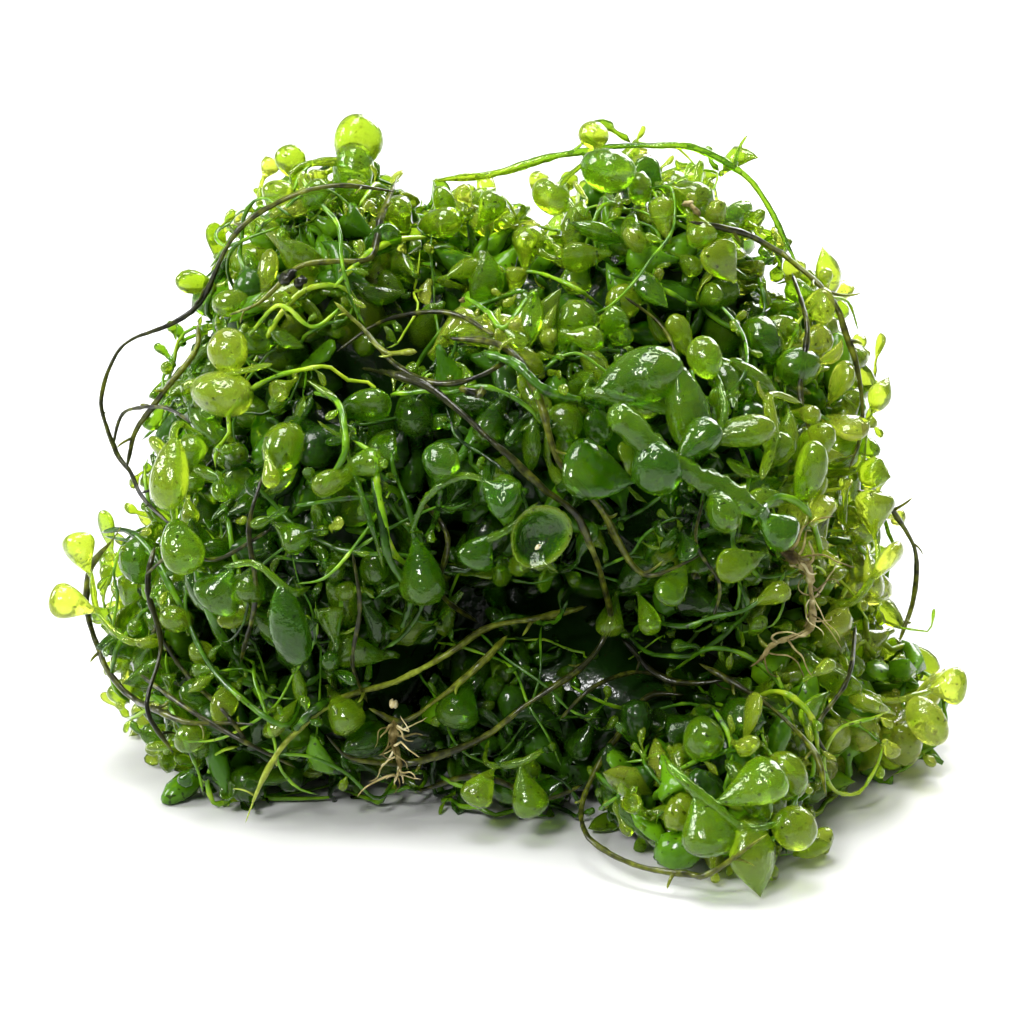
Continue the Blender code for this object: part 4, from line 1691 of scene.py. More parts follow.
@dataclass(frozen=True)
class Grape:
    """One large bladder of a frond. Its places and its width are in millimetres.

    Attributes:
        foot: Where it grows from the frond's stalk.
        tip: Its far end.
        thinnest: Its thickness over its width at least.
    """

    foot: Place
    tip: Place
    width: float
    form: Form
    ripeness: float
    thinnest: float = 0.45

    def tubes(self, rng: Rng, stalk: float) -> Tubes:
        """Makes the bladder as one tube that widens smoothly out of the stalk.

        Its middle line is foot + x (tip - foot) + 0.05 reach sin(pi x) aside. Where it has a dip,
        its rim is painted paler, as painted light, and the hollow in it darker, as painted shade.

        Args:
            rng: Random source.
            stalk: Radius of the stalk.

        Returns:
            A batch of one tube.
        """
        rings, sides = 20, 20
        outline = OUTLINES[self.form]
        foot, tip = np.array(self.foot) * MM, np.array(self.tip) * MM
        x = 0.5 - 0.5 * np.cos(math.pi * np.linspace(0.0, 1.0, rings))
        aside = across_of(unit(tip - foot)[None], rng)
        reach = np.linalg.norm(tip - foot)
        path = foot + x[:, None] * (tip - foot) + 0.05 * reach * np.sin(math.pi * x)[:, None] * aside
        radii = np.maximum(0.5 * self.width * MM * outline.radii(x), 0.8 * stalk * (1.0 - x) ** 2)
        ripple = np.ones((1, rings, sides))
        for waves, height in ((1, 0.05), (2, 0.06), (3, 0.04)):
            start, twist = rng.uniform(0.0, 2.0 * math.pi), rng.uniform(-2.0, 2.0)
            ripple += height * np.cos(waves * turns(sides) + start + twist * x[None, :, None])
        flatness = np.array([max(outline.flatness, self.thinnest)])
        tone = self.ripeness + 0.07 * (x - 0.5)
        # Painted light on the rim and painted shade in the hollow.
        if outline.dip:
            rim = outline.radii(x).argmax()
            tone[rim - 1 : rim + 2] += 0.25
            tone[rim + 2 :] -= 0.3
        moves = (outline.pushed(x) * reach)[:, None] * unit(tip - foot)
        return Tubes(path[None], radii[None], aside, flatness, sides, tone[None], ripple, moves=moves[None])

    def clearance(self) -> Array:
        """Gives spheres over the bladder that others keep clear of, (2, 4)."""
        foot, tip = np.array(self.foot), np.array(self.tip)
        rows = [[*(foot + share * (tip - foot)), 0.5 * self.width] for share in (0.35, 0.7)]
        return np.array(rows) * MM


@dataclass(frozen=True)
class Frond:
    """One named frond: a fleshy stalk that comes out of the heap and its large bladders.

    The stalk's route and radius are in millimetres. It goes into the heap by its rooting.
    """

    route: tuple[Place, ...]
    stalk: float
    ripeness: float
    grapes: tuple[Grape, ...]
    rooting: float = 4.0 * MM

    def piece(self, name: str, rng: Rng) -> Piece:
        """Makes the frond's piece.

        The stalk's radius is rippled by a slow sine wave along it and tapers to its tip.

        Args:
            name: Its name.
            rng: Random source.

        Returns:
            The piece.
        """
        route = np.array(self.route) * MM
        inward = unit(np.array(HEAP_MIDDLE) - route[0])
        path = along(np.vstack([route[0] + inward * self.rooting, route]), 0.6 * MM)
        rings, sides = len(path), 12
        x = np.linspace(0.0, 1.0, rings)
        wave = 1.0 + 0.16 * np.sin(x * 9.0 + rng.uniform(0.0, 6.0)) + rng.uniform(-0.06, 0.06, rings)
        radii = self.stalk * MM * wave * np.minimum(1.0, 1.6 * np.sin(math.pi * (0.04 + 0.9 * x)))
        ripple = 1.0 + 0.1 * rng.normal(size=(1, rings, sides))
        tone = np.full((1, rings), self.ripeness)
        across, flatness = np.array([[0.3, 0.2, 0.9]]), np.array([0.85])
        stem = Tubes(path[None], radii[None], across, flatness, sides, tone, ripple)
        grapes = [grape.tubes(rng, self.stalk * MM) for grape in self.grapes]
        return Piece(name, [stem, *grapes])

    def clearance(self) -> Array:
        """Gives spheres over the frond that the heap's own bladders keep clear of, (n, 4)."""
        stalk = np.array([[*place, self.stalk] for place in self.route]) * MM
        return np.concatenate([stalk, *(grape.clearance() for grape in self.grapes)])


# Bladders that stand out on the heap's front: how far right of and above the middle of the view the
# middle of each is seen, how far it stands out, its length and width, which way its tip is seen to
# point in degrees from the right, its form and its colour attribute. All lengths are in millimetres.
SEEN_GRAPES = (
    (-37.1, 33.4, 0.5, 5.6, 2.6, 100, PAD, 0.72),
    (-29.7, 38.7, 1.0, 5.4, 3.9, 80, PEAR, 0.68),
    (-24.6, 39.6, 1.0, 4.0, 3.3, 60, BALL, 0.5),
    (-34.6, 26.4, 1.5, 5.4, 3.8, 190, CLUB, 0.66),
    (-3.2, 37.6, 1.0, 5.4, 3.5, 60, PEAR, 0.6),
    (-8.6, 38.6, 0.5, 4.2, 3.0, 110, BALL, 0.6),
    (3.6, 40.4, 0.6, 4.6, 2.8, 100, PEAR, 0.8),
    (8.7, 22.0, 1.5, 5.0, 3.2, -10, PEAR, 0.56),
    (12.4, 23.4, 2.0, 4.4, 3.4, 50, PEAR, 0.5),
    (3.8, 32.2, 0.8, 4.4, 4.2, -70, PAD, 0.72),
    (-3.6, 28.6, 0.6, 8.2, 4.4, 85, HORN, 0.46),
    (1.2, 27.2, 0.4, 6.0, 3.4, -80, PEAR, 0.28),
    (10.5, 35.0, 0.6, 7.0, 3.2, 160, HORN, 0.34),
    (-18.3, 13.0, 1.0, 6.0, 4.2, 10, CLUB, 0.28),
    (-15.2, 9.4, 0.8, 5.4, 4.2, -60, CLUB, 0.4),
    (-28.1, -2.9, 1.0, 4.8, 3.8, -40, PEAR, 0.34),
    (-32.4, -8.7, 1.2, 5.0, 4.2, -110, PEAR, 0.3),
    (-42.0, -13.2, 1.5, 4.2, 3.7, 170, BALL, 0.6),
    (-38.7, -17.6, 1.5, 3.4, 3.0, 150, BALL, 0.66),
    (-5.2, -11.5, 1.2, 6.0, 4.4, -25, CLUB, 0.4),
    (-6.0, -23.8, 1.0, 6.6, 5.0, -110, PEAR, 0.32),
    (-1.1, 2.4, 1.0, 4.2, 3.9, -90, BALL, 0.5),
    (12.7, -12.7, 1.4, 5.4, 3.4, -100, PEAR, 0.5),
    (16.6, -12.7, 1.4, 5.4, 3.0, -70, PEAR, 0.44),
    (20.1, -8.7, 1.0, 5.6, 3.6, -120, PAD, 0.46),
    (28.6, -6.2, 1.6, 6.0, 4.0, 200, PAD, 0.6),
    (31.9, 1.5, 1.2, 4.4, 2.8, 175, CLUB, 0.54),
    (36.8, 4.8, 1.8, 8.0, 4.0, 75, CLUB, 0.6),
    (31.1, 21.5, 0.8, 5.8, 5.6, 120, BALL, 0.28),
    (36.0, 18.3, 0.8, 5.2, 4.8, 190, BALL, 0.36),
    (26.6, 31.3, 0.5, 5.6, 4.6, 120, PAD, 0.76),
    (35.2, 29.6, 0.5, 4.6, 3.2, 80, PEAR, 0.8),
    (38.1, 25.4, 0.4, 4.8, 4.2, 20, PAD, 0.86),
    (41.0, 15.8, 0.4, 5.6, 4.8, 60, PAD, 0.86),
    (41.3, 10.8, 0.6, 6.2, 5.0, -20, PAD, 0.9),
    (45.0, -7.6, 0.6, 5.8, 4.8, -80, PAD, 0.9),
    (42.5, 2.8, 1.0, 5.4, 2.8, 95, CLUB, 0.7),
    (45.0, -24.2, 1.0, 5.6, 4.8, 160, PAD, 0.82),
    (38.0, -24.6, 1.2, 5.0, 4.2, -130, PAD, 0.5),
    (34.0, -33.0, 1.2, 5.6, 5.2, 110, BALL, 0.72),
    (24.2, -28.3, 1.4, 5.2, 4.8, -80, BALL, 0.44),
    (-1.6, -34.4, 0.6, 5.6, 3.6, -30, CLUB, 0.3),
    (-21.5, -24.6, 1.2, 6.4, 5.2, -60, PEAR, 0.6),
    (-28.9, -25.8, 1.2, 5.8, 4.6, -130, PAD, 0.6),
    (-35.8, -24.4, 1.4, 6.0, 3.4, -110, HORN, 0.7),
    (-46.8, -6.2, 0.8, 5.6, 5.0, 100, BALL, 0.36),
    (-50.4, -2.5, 0.6, 5.4, 2.8, 100, PAD, 0.62),
    (-48.6, -22.0, 0.8, 4.4, 3.2, -120, PEAR, 0.62),
    (-39.9, -28.3, 1.0, 4.6, 3.8, -150, BALL, 0.56),
    (-43.6, 7.4, 0.6, 4.8, 3.6, 130, PAD, 0.76),
    (-22.4, 3.6, 1.6, 5.0, 3.2, 200, CLUB, 0.6),
    (-18.9, 5.6, 2.2, 5.6, 3.4, 20, PEAR, 0.5),
    (-13.0, -1.6, 1.4, 5.0, 3.8, -100, HORN, 0.42),
    (-30.5, 5.4, 2.4, 4.4, 2.2, -80, PEAR, 0.82),
    (-40.3, 0.3, 1.2, 3.4, 2.2, -80, PEAR, 0.76),
    (25.4, 13.4, 2.0, 4.0, 1.6, 90, CLUB, 0.52),
    (23.0, 35.6, 0.6, 5.0, 3.8, -60, PEAR, 0.7),
    (17.5, 28.0, 0.4, 6.2, 3.4, -50, HORN, 0.3),
    (11.0, 5.4, 2.4, 8.6, 7.4, 160, PAD, 0.3),
    (-11.4, 35.0, 0.0, 6.4, 5.0, 60, PAD, 0.6),
    (-14.0, 36.8, -1.0, 5.6, 4.4, 110, PEAR, 0.62),
    (-9.0, 36.2, -0.6, 5.4, 4.6, 10, CLUB, 0.66),
    (-16.4, 33.4, 0.6, 5.6, 4.0, 40, PAD, 0.3),
    (2.0, 32.6, -1.0, 6.0, 4.6, 80, PEAR, 0.66),
    (2.6, 31.0, -3.0, 5.4, 5.0, 10, BALL, 0.3),
    (-10.5, 31.2, -2.5, 7.0, 5.6, 15, BALL, 0.24),
)


def seen_grapes(surface: Surface) -> list[Grape]:
    """Lays the bladders of SEEN_GRAPES on the heap, each with its foot turned into the heap.

    Args:
        surface: The heap's surface.

    Returns:
        The bladders.
    """
    _, eye, right, up = Studio.view()
    grapes = []
    for across, above, lift, length, width, turn, form, ripeness in SEEN_GRAPES:
        middle = surface.seen(np.array([[across, above, lift]]) * MM)
        shown, outwards, _, _ = surface.nearest(middle)
        if np.linalg.norm(middle - shown) > 3.5 * MM:
            middle = shown + outwards * 1.5 * MM
        middle = middle[0] / MM
        angle = math.radians(turn)
        axis = math.cos(angle) * right + math.sin(angle) * up
        towards = unit(eye / MM - middle)
        foot = middle - axis * 0.5 * length - towards * 0.3 * length
        tip = middle + axis * 0.5 * length + towards * 0.06 * length
        grapes.append(Grape(tuple(foot), tuple(tip), width, form, ripeness))
    return grapes


FRONDS = {
    "frond_peak": Frond(((-26.6, 1.0, 73.0), (-22.6, 3.0, 74.0), (-18.6, 4.0, 73.0)), 0.5, 0.72, (
        Grape((-20.2, 3.0, 67.0), (-19.2, 4.6, 76.0), 5.6, CLUB, 0.5),
        Grape((-19.4, 4.4, 72.6), (-18.0, 5.6, 79.2), 6.0, BALL, 0.68),
        Grape((-25.6, 2.0, 72.0), (-27.6, 3.0, 76.0), 3.6, CLUB, 0.7),
    )),
    "frond_crown_right": Frond(((5.6, -5.4, 72.7), (8.6, -1.4, 74.7), (9.6, 2.6, 75.7)), 0.4, 0.7, (
        Grape((9.6, 2.6, 75.7), (10.6, 3.6, 78.7), 4.0, BALL, 0.8),
        Grape((6.6, -4.4, 72.7), (3.6, -8.4, 71.7), 4.8, PEAR, 0.72),
        Grape((8.6, -1.4, 74.7), (14.6, -5.4, 74.7), 5.4, BALL, 0.45),
    )),
    "frond_twin": Frond(((8.7, -29.6, 54.0), (14.7, -30.6, 53.0), (20.7, -29.6, 51.0)), 0.7, 0.4, (
        Grape((9.3, -29.6, 53.2), (19.6, -29.6, 57.2), 6.4, TWIN, 0.34),
        Grape((18.9, -29.4, 57.4), (20.9, -31.4, 47.4), 5.8, TWIN, 0.38),
    )),
    "frond_arm": Frond(
        ((12.1, -36.6, 53.2), (16.1, -36.6, 49.2), (22.1, -35.6, 45.2), (29.1, -36.6, 41.2)), 1.5, 0.36, (
        Grape((15.1, -36.6, 50.2), (17.1, -37.6, 44.2), 5.6, BALL, 0.32),
        Grape((18.1, -35.6, 47.2), (23.1, -32.6, 51.2), 4.6, PEAR, 0.30),
        Grape((23.1, -36.6, 44.2), (25.1, -38.6, 40.2), 4.2, BALL, 0.40),
        Grape((28.1, -36.6, 42.2), (32.1, -35.6, 38.2), 4.4, PEAR, 0.30),
    )),
    "frond_oval": Frond(((22.5, -29.9, 47.3), (24.5, -27.9, 51.3), (23.5, -22.9, 55.3)), 0.45, 0.5, (
        Grape((22.5, -28.9, 48.3), (30.5, -27.9, 49.3), 4.6, CLUB, 0.62),
        Grape((23.0, -24.9, 54.3), (21.4, -22.4, 58.6), 3.9, BALL, 0.6),
    )),
    "frond_teardrop": Frond(
        ((-11.5, -31.6, 37.9), (-9.5, -33.6, 42.9), (-5.5, -35.6, 45.9), (-1.5, -36.6, 44.9)), 0.45, 0.42, (
        Grape((-11.5, -31.6, 37.9), (-10.5, -31.6, 28.9), 5.8, PEAR, 0.34),
        Grape((-8.5, -33.6, 43.9), (-7.5, -35.6, 48.9), 4.8, PEAR, 0.32),
        Grape((-3.5, -36.6, 45.9), (0.5, -37.6, 42.9), 4.6, PEAR, 0.30),
    )),
    "frond_cup": Frond(((-3.0, -33.2, 37.3), (-0.0, -34.2, 39.3), (3.0, -34.2, 42.3)), 0.45, 0.4, (
        Grape((2.2, -31.4, 37.6), (3.4, -38.6, 39.4), 7.8, CUP, 0.36),
        Grape((-2.0, -33.2, 38.3), (-5.0, -33.2, 34.3), 4.4, PEAR, 0.24),
    )),
    "frond_low_left": Frond(((-25.5, -34.1, 31.4), (-29.5, -33.1, 34.4), (-33.5, -31.1, 33.4)), 0.45, 0.4, (
        Grape((-26.5, -34.1, 32.4), (-24.5, -34.1, 22.4), 4.8, CLUB, 0.26),
        Grape((-32.5, -31.1, 33.4), (-35.5, -30.1, 28.4), 5.8, PEAR, 0.30),
    )),
    "frond_left_bright": Frond(
        ((-39.2, -24.4, 48.4), (-39.2, -27.4, 42.4), (-39.2, -29.4, 36.4)), 0.5, 0.6, (
        Grape((-39.2, -25.4, 47.4), (-40.2, -28.4, 39.4), 5.2, CLUB, 0.72),
        Grape((-39.2, -28.4, 38.4), (-37.2, -30.4, 32.4), 4.8, CLUB, 0.55),
    )),
    "frond_left_block": Frond(((-38.8, -17.2, 51.1), (-33.8, -19.2, 53.1), (-27.8, -21.2, 55.1)), 0.5, 0.7, (
        Grape((-37.8, -17.2, 51.1), (-30.8, -21.2, 51.1), 6.0, BALL, 0.8),
        Grape((-33.8, -18.2, 53.1), (-33.8, -16.2, 58.1), 4.6, BALL, 0.78),
    )),
    "frond_left_tip": Frond(((-46.3, -16.8, 18.9), (-50.3, -14.8, 21.9), (-51.3, -12.8, 26.9)), 0.4, 0.75, (
        Grape((-50.3, -14.8, 21.9), (-56.3, -12.8, 22.9), 4.6, PEAR, 0.88),
        Grape((-51.3, -12.8, 25.9), (-53.3, -10.8, 30.9), 4.2, PEAR, 0.8),
    )),
    "frond_right_lime": Frond(((41.0, -17.0, 24.0), (44.0, -16.0, 28.0), (44.0, -14.0, 32.0)), 0.4, 0.75, (
        Grape((43.0, -16.0, 26.0), (47.0, -15.0, 31.0), 5.4, PAD, 0.92),
        Grape((44.0, -14.0, 31.0), (44.0, -13.0, 37.0), 4.8, PEAR, 0.8),
    )),
    "frond_right_horned": Frond(((42.0, -10.0, 39.0), (43.0, -8.0, 43.0), (44.0, -6.0, 46.0)), 0.45, 0.75, (
        Grape((44.0, -7.0, 45.0), (46.0, -5.0, 49.0), 4.4, HORN, 0.85),
        Grape((42.0, -10.0, 39.0), (46.0, -11.0, 38.0), 4.2, HORN, 0.75),
    )),
    "frond_toe": Frond(((45.7, -18.3, 11.8), (49.7, -16.3, 11.8), (51.7, -14.3, 11.8)), 0.4, 0.75, (
        Grape((50.7, -15.3, 11.8), (55.7, -13.3, 11.8), 4.6, PEAR, 0.88),
        Grape((48.7, -17.3, 11.8), (52.7, -19.3, 6.8), 4.6, BALL, 0.92),
    )),
    "frond_foot": Frond(
        ((18.6, -47.1, 14.2), (22.6, -49.1, 11.2), (26.6, -49.1, 8.2), (30.6, -47.1, 8.2)), 0.6, 0.5, (
        Grape((20.6, -48.1, 13.2), (22.6, -50.1, 5.2), 6.8, PEAR, 0.46),
        Grape((22.6, -49.1, 11.2), (30.6, -47.1, 14.6), 5.8, PEAR, 0.52),
        Grape((26.0, -49.1, 9.2), (28.2, -50.6, 0.4), 6.2, HORN, 0.66),
        Grape((29.6, -47.1, 8.2), (34.5, -46.1, 6.2), 5.2, BALL, 0.72),
    )),
    "frond_front_low": Frond(((-3.0, -30.8, 8.7), (1.0, -32.8, 9.7), (5.0, -31.8, 11.7)), 0.4, 0.5, (
        Grape((1.0, -32.8, 9.7), (3.0, -34.8, 3.7), 4.6, PEAR, 0.5),
        Grape((-2.0, -31.8, 8.7), (-5.0, -33.8, 4.7), 4.4, PEAR, 0.6),
    )),
    "frond_back_left": Frond(((-28.9, 39.3, 46.4), (-24.9, 42.3, 40.4), (-21.9, 43.3, 34.4)), 0.45, 0.5, (
        Grape((-27.9, 40.3, 45.4), (-21.9, 42.3, 47.4), 5.6, PEAR, 0.55),
        Grape((-24.9, 42.3, 40.4), (-29.9, 44.3, 35.4), 5.2, CLUB, 0.5),
    )),
    "frond_back_right": Frond(((2.2, 39.8, 56.9), (5.2, 43.8, 50.9), (6.2, 46.8, 43.9)), 0.45, 0.5, (
        Grape((3.2, 40.8, 54.9), (9.2, 38.8, 57.9), 5.4, PEAR, 0.6),
        Grape((6.2, 45.8, 46.9), (2.2, 48.8, 40.9), 5.4, CLUB, 0.5),
    )),
}


@dataclass(frozen=True)
class Runner:
    """How one runner looks.

    Attributes:
        tip: Its growing end in millimetres, roughly.
        older: Its colour attribute at the other end.
        younger: Its colour attribute at the tip.
        width: Its width as a share of its solid's.
        forks: Larger side shoots: the share of its length and how far each reaches, in millimetres.
    """

    tip: Place
    older: float
    younger: float
    width: float = 0.68
    spurs: int = 4
    forks: tuple[tuple[float, Place], ...] = ()

    def piece(self, name: str, node: Object, rng: Rng) -> Piece:
        """Makes the runner's piece on the middle line of its solid.

        Its radius is the solid's times its width, swells by smooth noise, goes down by 0.3 towards
        the tip, and is rounded off at both ends.

        Args:
            name: The piece's name.
            node: The runner's solid.
            rng: Random source.

        Returns:
            The piece.
        """
        path, radius = centreline(node, 0.7 * MM)
        tip = np.array(self.tip) * MM
        if np.linalg.norm(path[0] - tip) < np.linalg.norm(path[-1] - tip):
            path = path[::-1]
        rings, sides = len(path), 10
        x = np.linspace(0.0, 1.0, rings)
        path = path + wander(path, 0.25 * MM, rng)
        swell = 1.0 + 0.18 * smooth_noise(rings, 7, rng) + 0.07 * smooth_noise(rings, 2, rng)
        ends = np.minimum(1.0, 0.35 + 8.0 * np.minimum(x, 0.8 * (1.0 - x)))
        radii = radius * self.width * swell * ends * (1.12 - 0.3 * x)
        tone = self.older + (self.younger - self.older) * x + 0.1 * smooth_noise(rings, 9, rng)
        ripple = 1.0 + 0.07 * rng.normal(size=(1, rings, sides))
        main = Tubes(path[None], radii[None], rng.normal(size=(1, 3)), np.ones(1), sides, tone[None], ripple)
        return Piece(name, [main, self.side_shoots(path, radii, tone, rng)])

    def side_shoots(self, path: Array, radii: Array, tone: Array, rng: Rng) -> Tubes:
        """Makes the spurs and forks.

        Each is start + t reach + 0.44 t (1 - t) bow. It flares out of the runner, tapers by 0.45
        and ends bluntly.

        Args:
            path: The runner's middle line, (n, 3).
            radii: Its radii, (n,).
            tone: Its colour attribute, (n,).
            rng: Random source.

        Returns:
            The shoots.
        """
        places = (np.arange(self.spurs) + rng.uniform(0.15, 0.85, self.spurs)) / max(1, self.spurs)
        starts = [int(share * (len(path) - 3)) + 1 for share in places]
        starts += [min(len(path) - 2, int(share * (len(path) - 1))) for share, _ in self.forks]
        starts = np.array(starts)
        count = len(starts)
        ahead = unit(path[starts + 1] - path[starts - 1])
        side = across_of(ahead, rng)
        way = side * rng.uniform(0.8, 1.2, (count, 1)) + ahead * 0.7
        reach = way * rng.uniform(0.9, 2.2, (count, 1)) * MM
        if self.forks:
            reach[self.spurs :] = np.array([vector for _, vector in self.forks]) * MM
        t = np.linspace(0.0, 1.0, 9)
        on_path = t[None, :, None]
        bow = across_of(unit(reach), rng)[:, None] * np.linalg.norm(reach, axis=1)[:, None, None]
        paths = path[starts][:, None] + reach[:, None] * on_path
        paths = paths + bow * 0.22 * on_path * (1.0 - on_path) * 2.0
        share = (1.0 - 0.45 * t) * np.sqrt(1.0 - t**8) + 0.3 * np.exp(-((8.0 * t) ** 2))
        widths = radii[starts][:, None] * 0.66 * share
        tones = tone[starts][:, None] + np.linspace(0.0, 0.25, len(t))
        return Tubes(paths, widths, rng.normal(size=(count, 3)), np.ones(count), 8, tones)


RUNNERS = {
    "runner_long": Runner((-22, -30, 12), 0.14, 0.38, 0.58, 5),
    "runner_olive": Runner((22, -31, 35), 0.22, 0.50, 0.56, 4),
    "runner_diagonal": Runner(
        (-31, -30, 3), 0.46, 0.72, 0.56, 3, ((0.985, (-2.6, -0.5, 1.2)), (0.99, (-1.0, -0.6, -2.6)))
    ),
    "runner_lower": Runner((-17, -29, 15), 0.4, 0.48, 0.56, 2),
    "runner_left_loop": Runner(
        (-40, -14, 33), 0.32, 0.2, 0.48, 5, ((0.48, (2.2, -1.0, 3.8)), (0.9, (4.4, -1.0, 2.0)))
    ),
    "runner_left_strand": Runner((-47, -8, 38), 0.40, 0.24, 0.48, 4),
    "runner_left_outer": Runner((-30, -29, 13), 0.34, 0.2, 0.53, 4, ((0.02, (1.6, -0.8, 2.6)),)),
    "runner_left_low": Runner((-39, -25, 9), 0.16, 0.18, 0.50, 4),
    "runner_crown_swirl": Runner((-34, -10, 58), 0.3, 0.4, 0.5, 3),
    "runner_right_dark": Runner((41, -12, 39), 0.16, 0.50, 0.5, 5, ((0.5, (4.8, 0.6, -0.6)),)),
    "runner_right_hook": Runner((48, -9, 16), 0.3, 0.46, 0.51, 3, ((0.3, (2.4, -0.4, 1.8)),)),
    "runner_right": Runner((27, -27, 18), 0.10, 0.22, 0.53, 3),
    "runner_foot_loop": Runner((28, -50, 8), 0.24, 0.44, 0.55, 3, ((0.74, (-0.8, -0.9, -1.6)),)),
    "runner_foot_right": Runner((36, -44, 10), 0.26, 0.38, 0.50, 4),
    "runner_free_end": Runner((-21, -15, 61), 0.45, 0.60, 0.48, 2),
    "runner_back_left": Runner((-22, 42, 14), 0.22, 0.44, 0.56, 4),
    "runner_back_right": Runner((4, 45, 14), 0.24, 0.48, 0.56, 4),
}

# Young runners that are still as green and fleshy as the fronds.
GREEN_RUNNERS = {
    "runner_green_stem": Runner((-15, -31, 33), 0.52, 0.5, 0.66, 3, ((0.4, (-3.0, -0.6, 2.2)),)),
    "runner_crown_arch": Runner(
        (35, 3, 61), 0.6, 0.42, 0.6, 4, ((0.74, (1.5, 0.0, 4.2)), (0.36, (2.6, 0.4, 2.6)))
    ),
    "runner_green_hook": Runner((34, -20, 50), 0.6, 0.86, 0.74, 2, ((0.6, (-1.4, -0.6, 2.8)),)),
}


@dataclass(frozen=True)
class Root:
    """One root: a fibrous pale cord with thin rootlets.

    Attributes:
        reach: Their length, least and most.
    """

    rootlets: int
    reach: tuple[float, float]

    def piece(self, name: str, node: Object, rng: Rng) -> Piece:
        """Makes the root's piece on the middle line of its solid, from its upper end down.

        Its radius is the solid's, knotted by noise, goes down from 0.78 of it to 0.32, and is
        rounded off at both ends.

        Args:
            name: The piece's name.
            node: The root's solid.
            rng: Random source.

        Returns:
            The piece.
        """
        path, radius = centreline(node, 0.5 * MM)
        if path[0, 2] < path[-1, 2]:
            path = path[::-1]
        rings, sides = len(path), 12
        x = np.linspace(0.0, 1.0, rings)
        path = path + wander(path, 0.5 * MM, rng)
        knots = 1.0 + 0.3 * smooth_noise(rings, 4, rng) + 0.16 * rng.normal(size=rings)
        radii = radius * (0.78 - 0.46 * x) * np.clip(knots, 0.5, 1.7)
        radii *= np.minimum(1.0, 0.3 + 6.0 * np.minimum(x, 1.0 - x))
        ripple = 1.0 + 0.17 * rng.normal(size=(1, rings, sides))
        tone = 0.5 + 0.2 * smooth_noise(rings, 3, rng)
        main = Tubes(path[None], radii[None], rng.normal(size=(1, 3)), np.ones(1), sides, tone[None], ripple)
        return Piece(name, [main, self.fibres(path, rng)])

    def fibres(self, path: Array, rng: Rng) -> Tubes:
        """Makes rootlets, most of them near the thick end, that straggle along the root.

        They all grow together by steps, each in a direction that turns a little more.

        Args:
            path: The root's middle line, (n, 3).
            rng: Random source.

        Returns:
            The rootlets.
        """
        count, rings, sides = self.rootlets, 14, 6
        starts = 1 + ((len(path) - 3) * rng.random(count) ** 1.6).astype(int)
        ahead = unit(path[starts] - path[starts - 1])
        heading = unit(ahead * rng.uniform(-0.4, 1.4, (count, 1)) + across_of(ahead, rng))
        step = rng.uniform(*self.reach, (count, 1)) / rings
        turning = 0.3 * rng.normal(size=(count, 3))
        rows, place = [], path[starts]
        for _ in range(rings):
            rows.append(place)
            turning = 0.7 * turning + 0.18 * rng.normal(size=turning.shape)
            heading = unit(heading + turning)
            place = place + heading * step
        radii = rng.uniform(0.09, 0.22, (count, 1)) * MM * np.linspace(1.0, 0.35, rings)
        tones = rng.uniform(0.25, 1.0, (count, 1)) * np.ones(rings)
        paths, across = np.stack(rows, axis=1), rng.normal(size=(count, 3))
        return Tubes(paths, radii, across, np.ones(count), sides, tones)


ROOTS = {"root_long": Root(26, (3.0 * MM, 9.0 * MM)), "root_short": Root(22, (2.5 * MM, 7.0 * MM))}


@dataclass(frozen=True)
class Crumbs:
    """Crumbs of dirt that cling to the heap's front.

    Attributes:
        rows: Where each is seen and how far it stands out, as in SEEN_STRANDS, and its radius, in
            millimetres, and its colour attribute.
    """

    rows: tuple[tuple[float, float, float, float, float], ...]

    def piece(self, name: str, surface: Surface, rng: Rng) -> Piece:
        """Makes the crumbs as jagged little lumps: flattened balls, each point moved in or out.

        Args:
            name: The piece's name.
            surface: The heap's surface.
            rng: Random source.

        Returns:
            The piece.
        """
        table = np.array(self.rows)
        count, rings, sides = len(table), 8, 9
        middles = surface.seen(table[:, :3] * MM)
        axes = unit(rng.normal(size=(count, 3)))
        polar = math.pi * np.linspace(0.0, 1.0, rings)
        size = table[:, 3, None] * MM
        paths = middles[:, None] - axes[:, None] * (size * np.cos(polar))[..., None]
        radii = size * np.sin(polar)
        ripple = rng.uniform(0.5, 1.4, (count, rings, sides))
        tones = table[:, 4, None] + rng.normal(0.0, 0.15, (count, rings))
        flatness = rng.uniform(0.35, 0.7, count)
        return Piece(name, [Tubes(paths, radii, across_of(axes, rng), flatness, sides, tones, ripple)])


DARK_CRUMBS = Crumbs(
    (
        (-5.3, 15.2, 3.4, 1.3, 0.2),
        (-4.0, 14.9, 3.6, 0.8, 0.34),
        (-28.0, 29.4, 2.2, 1.3, -0.1),
        (-26.4, 28.7, 2.2, 0.9, 0.0),
        (5.0, -2.0, 2.5, 0.6, 0.1),
        (23.0, -8.0, 2.5, 0.6, 0.2),
    )
)
PALE_CRUMBS = Crumbs(
    (
        (22.9, 37.8, 2.2, 1.0, 0.55),
        (22.0, 38.6, 2.2, 0.7, 0.7),
        (3.2, -4.4, 8.3, 0.4, 1.0),
        (-14.8, -24.0, 3.4, 0.6, 0.9),
        (-6.2, 26.5, 2.6, 0.4, 0.5),
    )
)


@dataclass(frozen=True)
class Materials:
    """The heap's materials. Young runners are of the large bladders' flesh, and dirt is bark or fibre."""

    flesh: Material
    shaded: Material
    stem: Material
    large: Material
    bark: Material
    fibre: Material

    @classmethod
    def build(cls) -> Materials:
        """Makes all materials."""
        finishes = (FleshFinish(), SHADED_FLESH, STEM_FLESH, LARGE_FLESH, BarkFinish(), ROOT_FINISH)
        return cls(*(finish.build() for finish in finishes))


